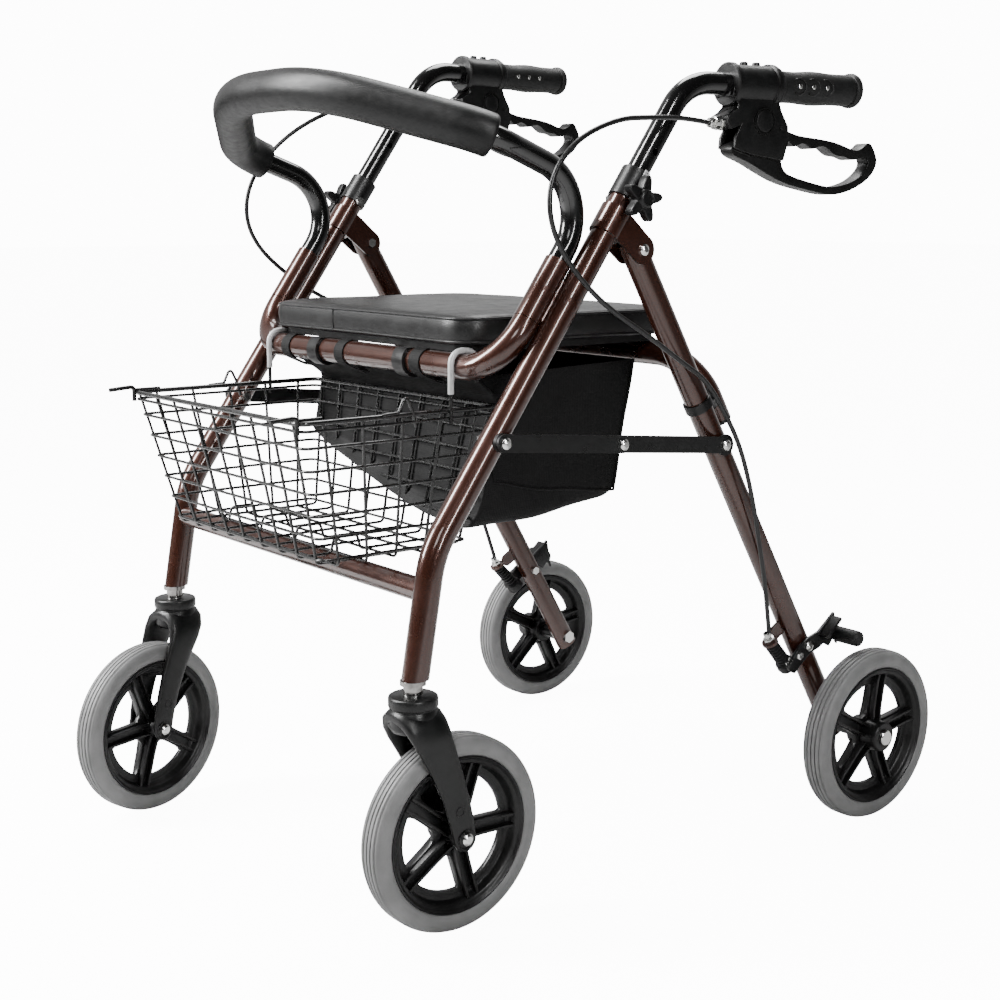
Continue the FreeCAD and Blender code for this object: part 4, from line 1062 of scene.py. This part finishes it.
front_y = BAG_TOP_FRONT[0]
loops = [sweep([vec(x, front_y - 0.5, 507 + 0.8 * sin(x * 0.05)) for x in range(-158, 159, 6)],
               2.2, 8)]
for x, half in ((-138, 8), (-31, 8), (105, 8.5)):  # fabric loops round the rail
    outline = [(front_y - 2, 499)] + round_rail(LOOP_R) + [(front_y + 3, 500), (front_y + 1.6, 500)]
    outline += round_rail(LOOP_INNER_R)[::-1] + [(front_y - 0.6, 499)]
    loops.append(flat(outline, x - half, x + half))
piece("under_seat_bag_loops", loops, "nylon", "front_frame", angle=50)


# ---------- wire basket
WIRE = 1.5
HUMP_Y, HUMP_HALF, HUMP = 11.3, 17.0, 15.0
HOOK_R = TUBE_R + 2.65  # from the rail's centre to the hook's


def on_wall(u, t, kind):
    """A point on one wall: u along it from -1 to 1, t from the rim (0) to the floor (1)."""
    y0, y1 = RIM[0] + (FLOOR[0] - RIM[0]) * t, RIM[1] + (FLOOR[1] - RIM[1]) * t
    x = RIM[2] + (FLOOR[2] - RIM[2]) * t
    z = RIM[3] + (FLOOR[3] - RIM[3]) * t
    if kind in ("front", "back"):
        return vec(u * x, y0 if kind == "front" else y1, z)
    return vec(x if kind == "right" else -x, (y0 + y1) / 2 + u * (y1 - y0) / 2, z)


def wall_corners(t):
    return [on_wall(-1, t, "front"), on_wall(1, t, "front"), on_wall(1, t, "back"), on_wall(-1, t, "back")]


def bent(corners, bend, r, sides=8):
    """A wire whose corners are small arcs."""
    return sweep(arc_route(corners, [bend] * (len(corners) - 2), 8.0), r, sides)


def bent_ring(corners, bend, r, sides=8):
    """The same, closed; it starts and ends half-way along its last side."""
    mid = (corners[0] + corners[-1]) / 2
    line = arc_route([mid] + corners + [mid], [bend] * len(corners), 8.0)
    return sweep(line[:-1], r, sides, closed=True)


def over_rail(x, front_z, back_z, bend, r, sides):
    """A hook over the front seat rail, with its two ends at the given heights."""
    front, back, top = RAIL_Y - HOOK_R, RAIL_Y + HOOK_R, RAIL_Z + HOOK_R
    return bent([vec(x, front, front_z), vec(x, front, top), vec(x, back, top),
                 vec(x, back, back_z)], bend, r, sides)


def basket_parts():
    parts = []
    for i, u in enumerate((-0.93, -0.7, -0.47, -0.235, 0.0, 0.235, 0.47, 0.7, 0.93)):
        low = on_wall(u, 1.0, "front")
        path = [on_wall(u, 0.0, "front"), low]
        if i % 2:  # these rise over the crossbar in an arch
            path += [vec(low.x, HUMP_Y + HUMP_HALF * share, low.z + rise)
                     for share, rise in ((-1, 0), (-0.75, HUMP), (0.75, HUMP), (1, 0))]
        path += [on_wall(u, 1.0, "back"), on_wall(u, 0.0, "back")]
        parts.append(bent(path, 5.0, WIRE))
    for u in (-0.78, -0.4, 0.0, 0.4, 0.78):
        below = vec(0, 0, -2.4)
        parts.append(bent([on_wall(u, 0.0, "left"), on_wall(u, 1.0, "left") + below,
                           on_wall(u, 1.0, "right") + below, on_wall(u, 0.0, "right")], 6.0, WIRE))
    parts += [bent_ring(wall_corners(t), 7.0, WIRE) for t in (0.17, 0.33, 0.49, 0.65, 0.81, 0.97)]
    return parts


def basket_frame_parts():
    """The rim and the thinner wire below it, the hooks, and at each side a horn and a hump."""
    parts = []
    for drop, out, r in ((0, 0, 2.4), (7.0, -1.2, 1.5)):
        corners = [vec(c.x + copysign(out, c.x), c.y + (out if c.y > 0 else -out), c.z - drop)
                   for c in wall_corners(0)]
        parts.append(bent_ring(corners, 9.0, r, 10))
    y0, y1, half, z = RIM
    mid = (y0 + y1) / 2 + 2
    for s in (-1, 1):
        parts.append(over_rail(s * (half + 3), z - 12, RAIL_Z - 16, 10.0, 1.9, 10))
        for across, line, bend, r, sides in (
                (half - 2, [(y0 - 1.5, -9), (y0 - 1.5, 6), (y0 - 29, 4)], 4.0, 2.2, 10),
                (half - 5, [(y0 - 1, 3), (y0 + 26, 3)], 4.0, 1.8, 8),
                (half + 1, [(mid - 26, 1.5), (mid - 8, 2.5), (mid, 19), (mid + 8, 2.5), (mid + 12, -12)],
                 3.0, 1.6, 8)):
            parts.append(bent([vec(s * across, y, z + up) for y, up in line], bend, r, sides))
    return parts


piece("basket_mesh", basket_parts(), "black_wire", "front_frame", ["basket"], angle=60)
piece("basket_frame", basket_frame_parts(), "black_wire", "front_frame", ["basket_wires"], angle=60)
sleeve = piece("basket_hook_sleeves", [over_rail(s * (RIM[2] + 3), RIM[3] + 16, RAIL_Z - 12, 12.0, 3.0, 14)
                                       for s in (-1, 1)], "zinc_steel", "front_frame", angle=60)
sleeve.data.materials[0] = HOOK_SLEEVE.material


# ---------- floor, light, finish
def light(name, at, aim, size, power):
    data = bpy.data.lights.new(name, "AREA")
    data.shape = "RECTANGLE"
    data.size, data.size_y = size
    data.energy = power
    obj = bpy.data.objects.new(name, data)
    bpy.context.scene.collection.objects.link(obj)
    obj.location = at
    obj.rotation_euler = (Vector(aim) - Vector(at)).to_track_quat("-Z", "Y").to_euler()
    obj.visible_camera = False


WHITE = (1, 1, 1, 1)
BACKDROP = 13.0  # brightness of the white paper behind and under the walker
FLOOR_GLOW = 12.2  # the floor's own part of it, seen by the camera only
AROUND = 0.85  # brightness of the room in reflections
BEHIND = (-0.788, 0.616, 0.0)  # the way the camera looks, where the room is brightest
bpy.ops.mesh.primitive_plane_add(size=60, location=(0, 0, -0.001))
floor = bpy.context.object
floor.name = "floor"
paper = Nodes("floor", Specular_IOR_Level=0.0, Roughness=0.9, Emission_Color=WHITE)
paper.vary("Base Color", paper.noise(2), (0.3, 0.49), (0.7, 0.51))
seen = paper.add("LightPath").outputs["Is Camera Ray"]
paper.to("Emission Strength", paper.add("Math", [(0, seen), (1, FLOOR_GLOW)],
                                        operation="MULTIPLY").outputs[0])
floor.data.materials.append(paper.material)
light("left_strip", (-1.05, -1.7, 2.0), (0, 0, 0.5), (0.55, 2.4), 270)
light("right_strip", (2.5, -0.5, 1.7), (0, 0, 0.45), (0.1, 2.2), 60)
light("top", (-0.6, 0.9, 2.5), (0, 0, 0.4), (1.2, 1.2), 50)
light("front", (2.0, -2.2, 1.9), (0, 0, 0.4), (0.7, 0.7), 12)

world = bpy.data.worlds.new("studio")
world.use_nodes = True
tree = world.node_tree
backing = tree.nodes["Background"]
backing.inputs["Color"].default_value = WHITE
backing.inputs["Strength"].default_value = BACKDROP
where = add_node(tree, "TexCoord").outputs["Generated"]
toward = add_node(tree, "VectorMath", [(0, where), (1, BEHIND)], operation="DOT_PRODUCT").outputs["Value"]
share = add_node(tree, "Math", [(0, toward), (1, 0.5), (2, 0.5)], operation="MULTIPLY_ADD").outputs[0]
fade = add_ramp(tree, share, (0.55, 0.03), (0.95, 1.0))
room = add_node(tree, "Background", [("Color", fade), ("Strength", AROUND)]).outputs[0]
seen = add_node(tree, "LightPath").outputs["Is Camera Ray"]
choice = add_node(tree, "MixShader", [(0, seen), (1, room), (2, backing.outputs[0])]).outputs[0]
tree.links.new(choice, tree.nodes["World Output"].inputs["Surface"])
bpy.context.scene.world = world
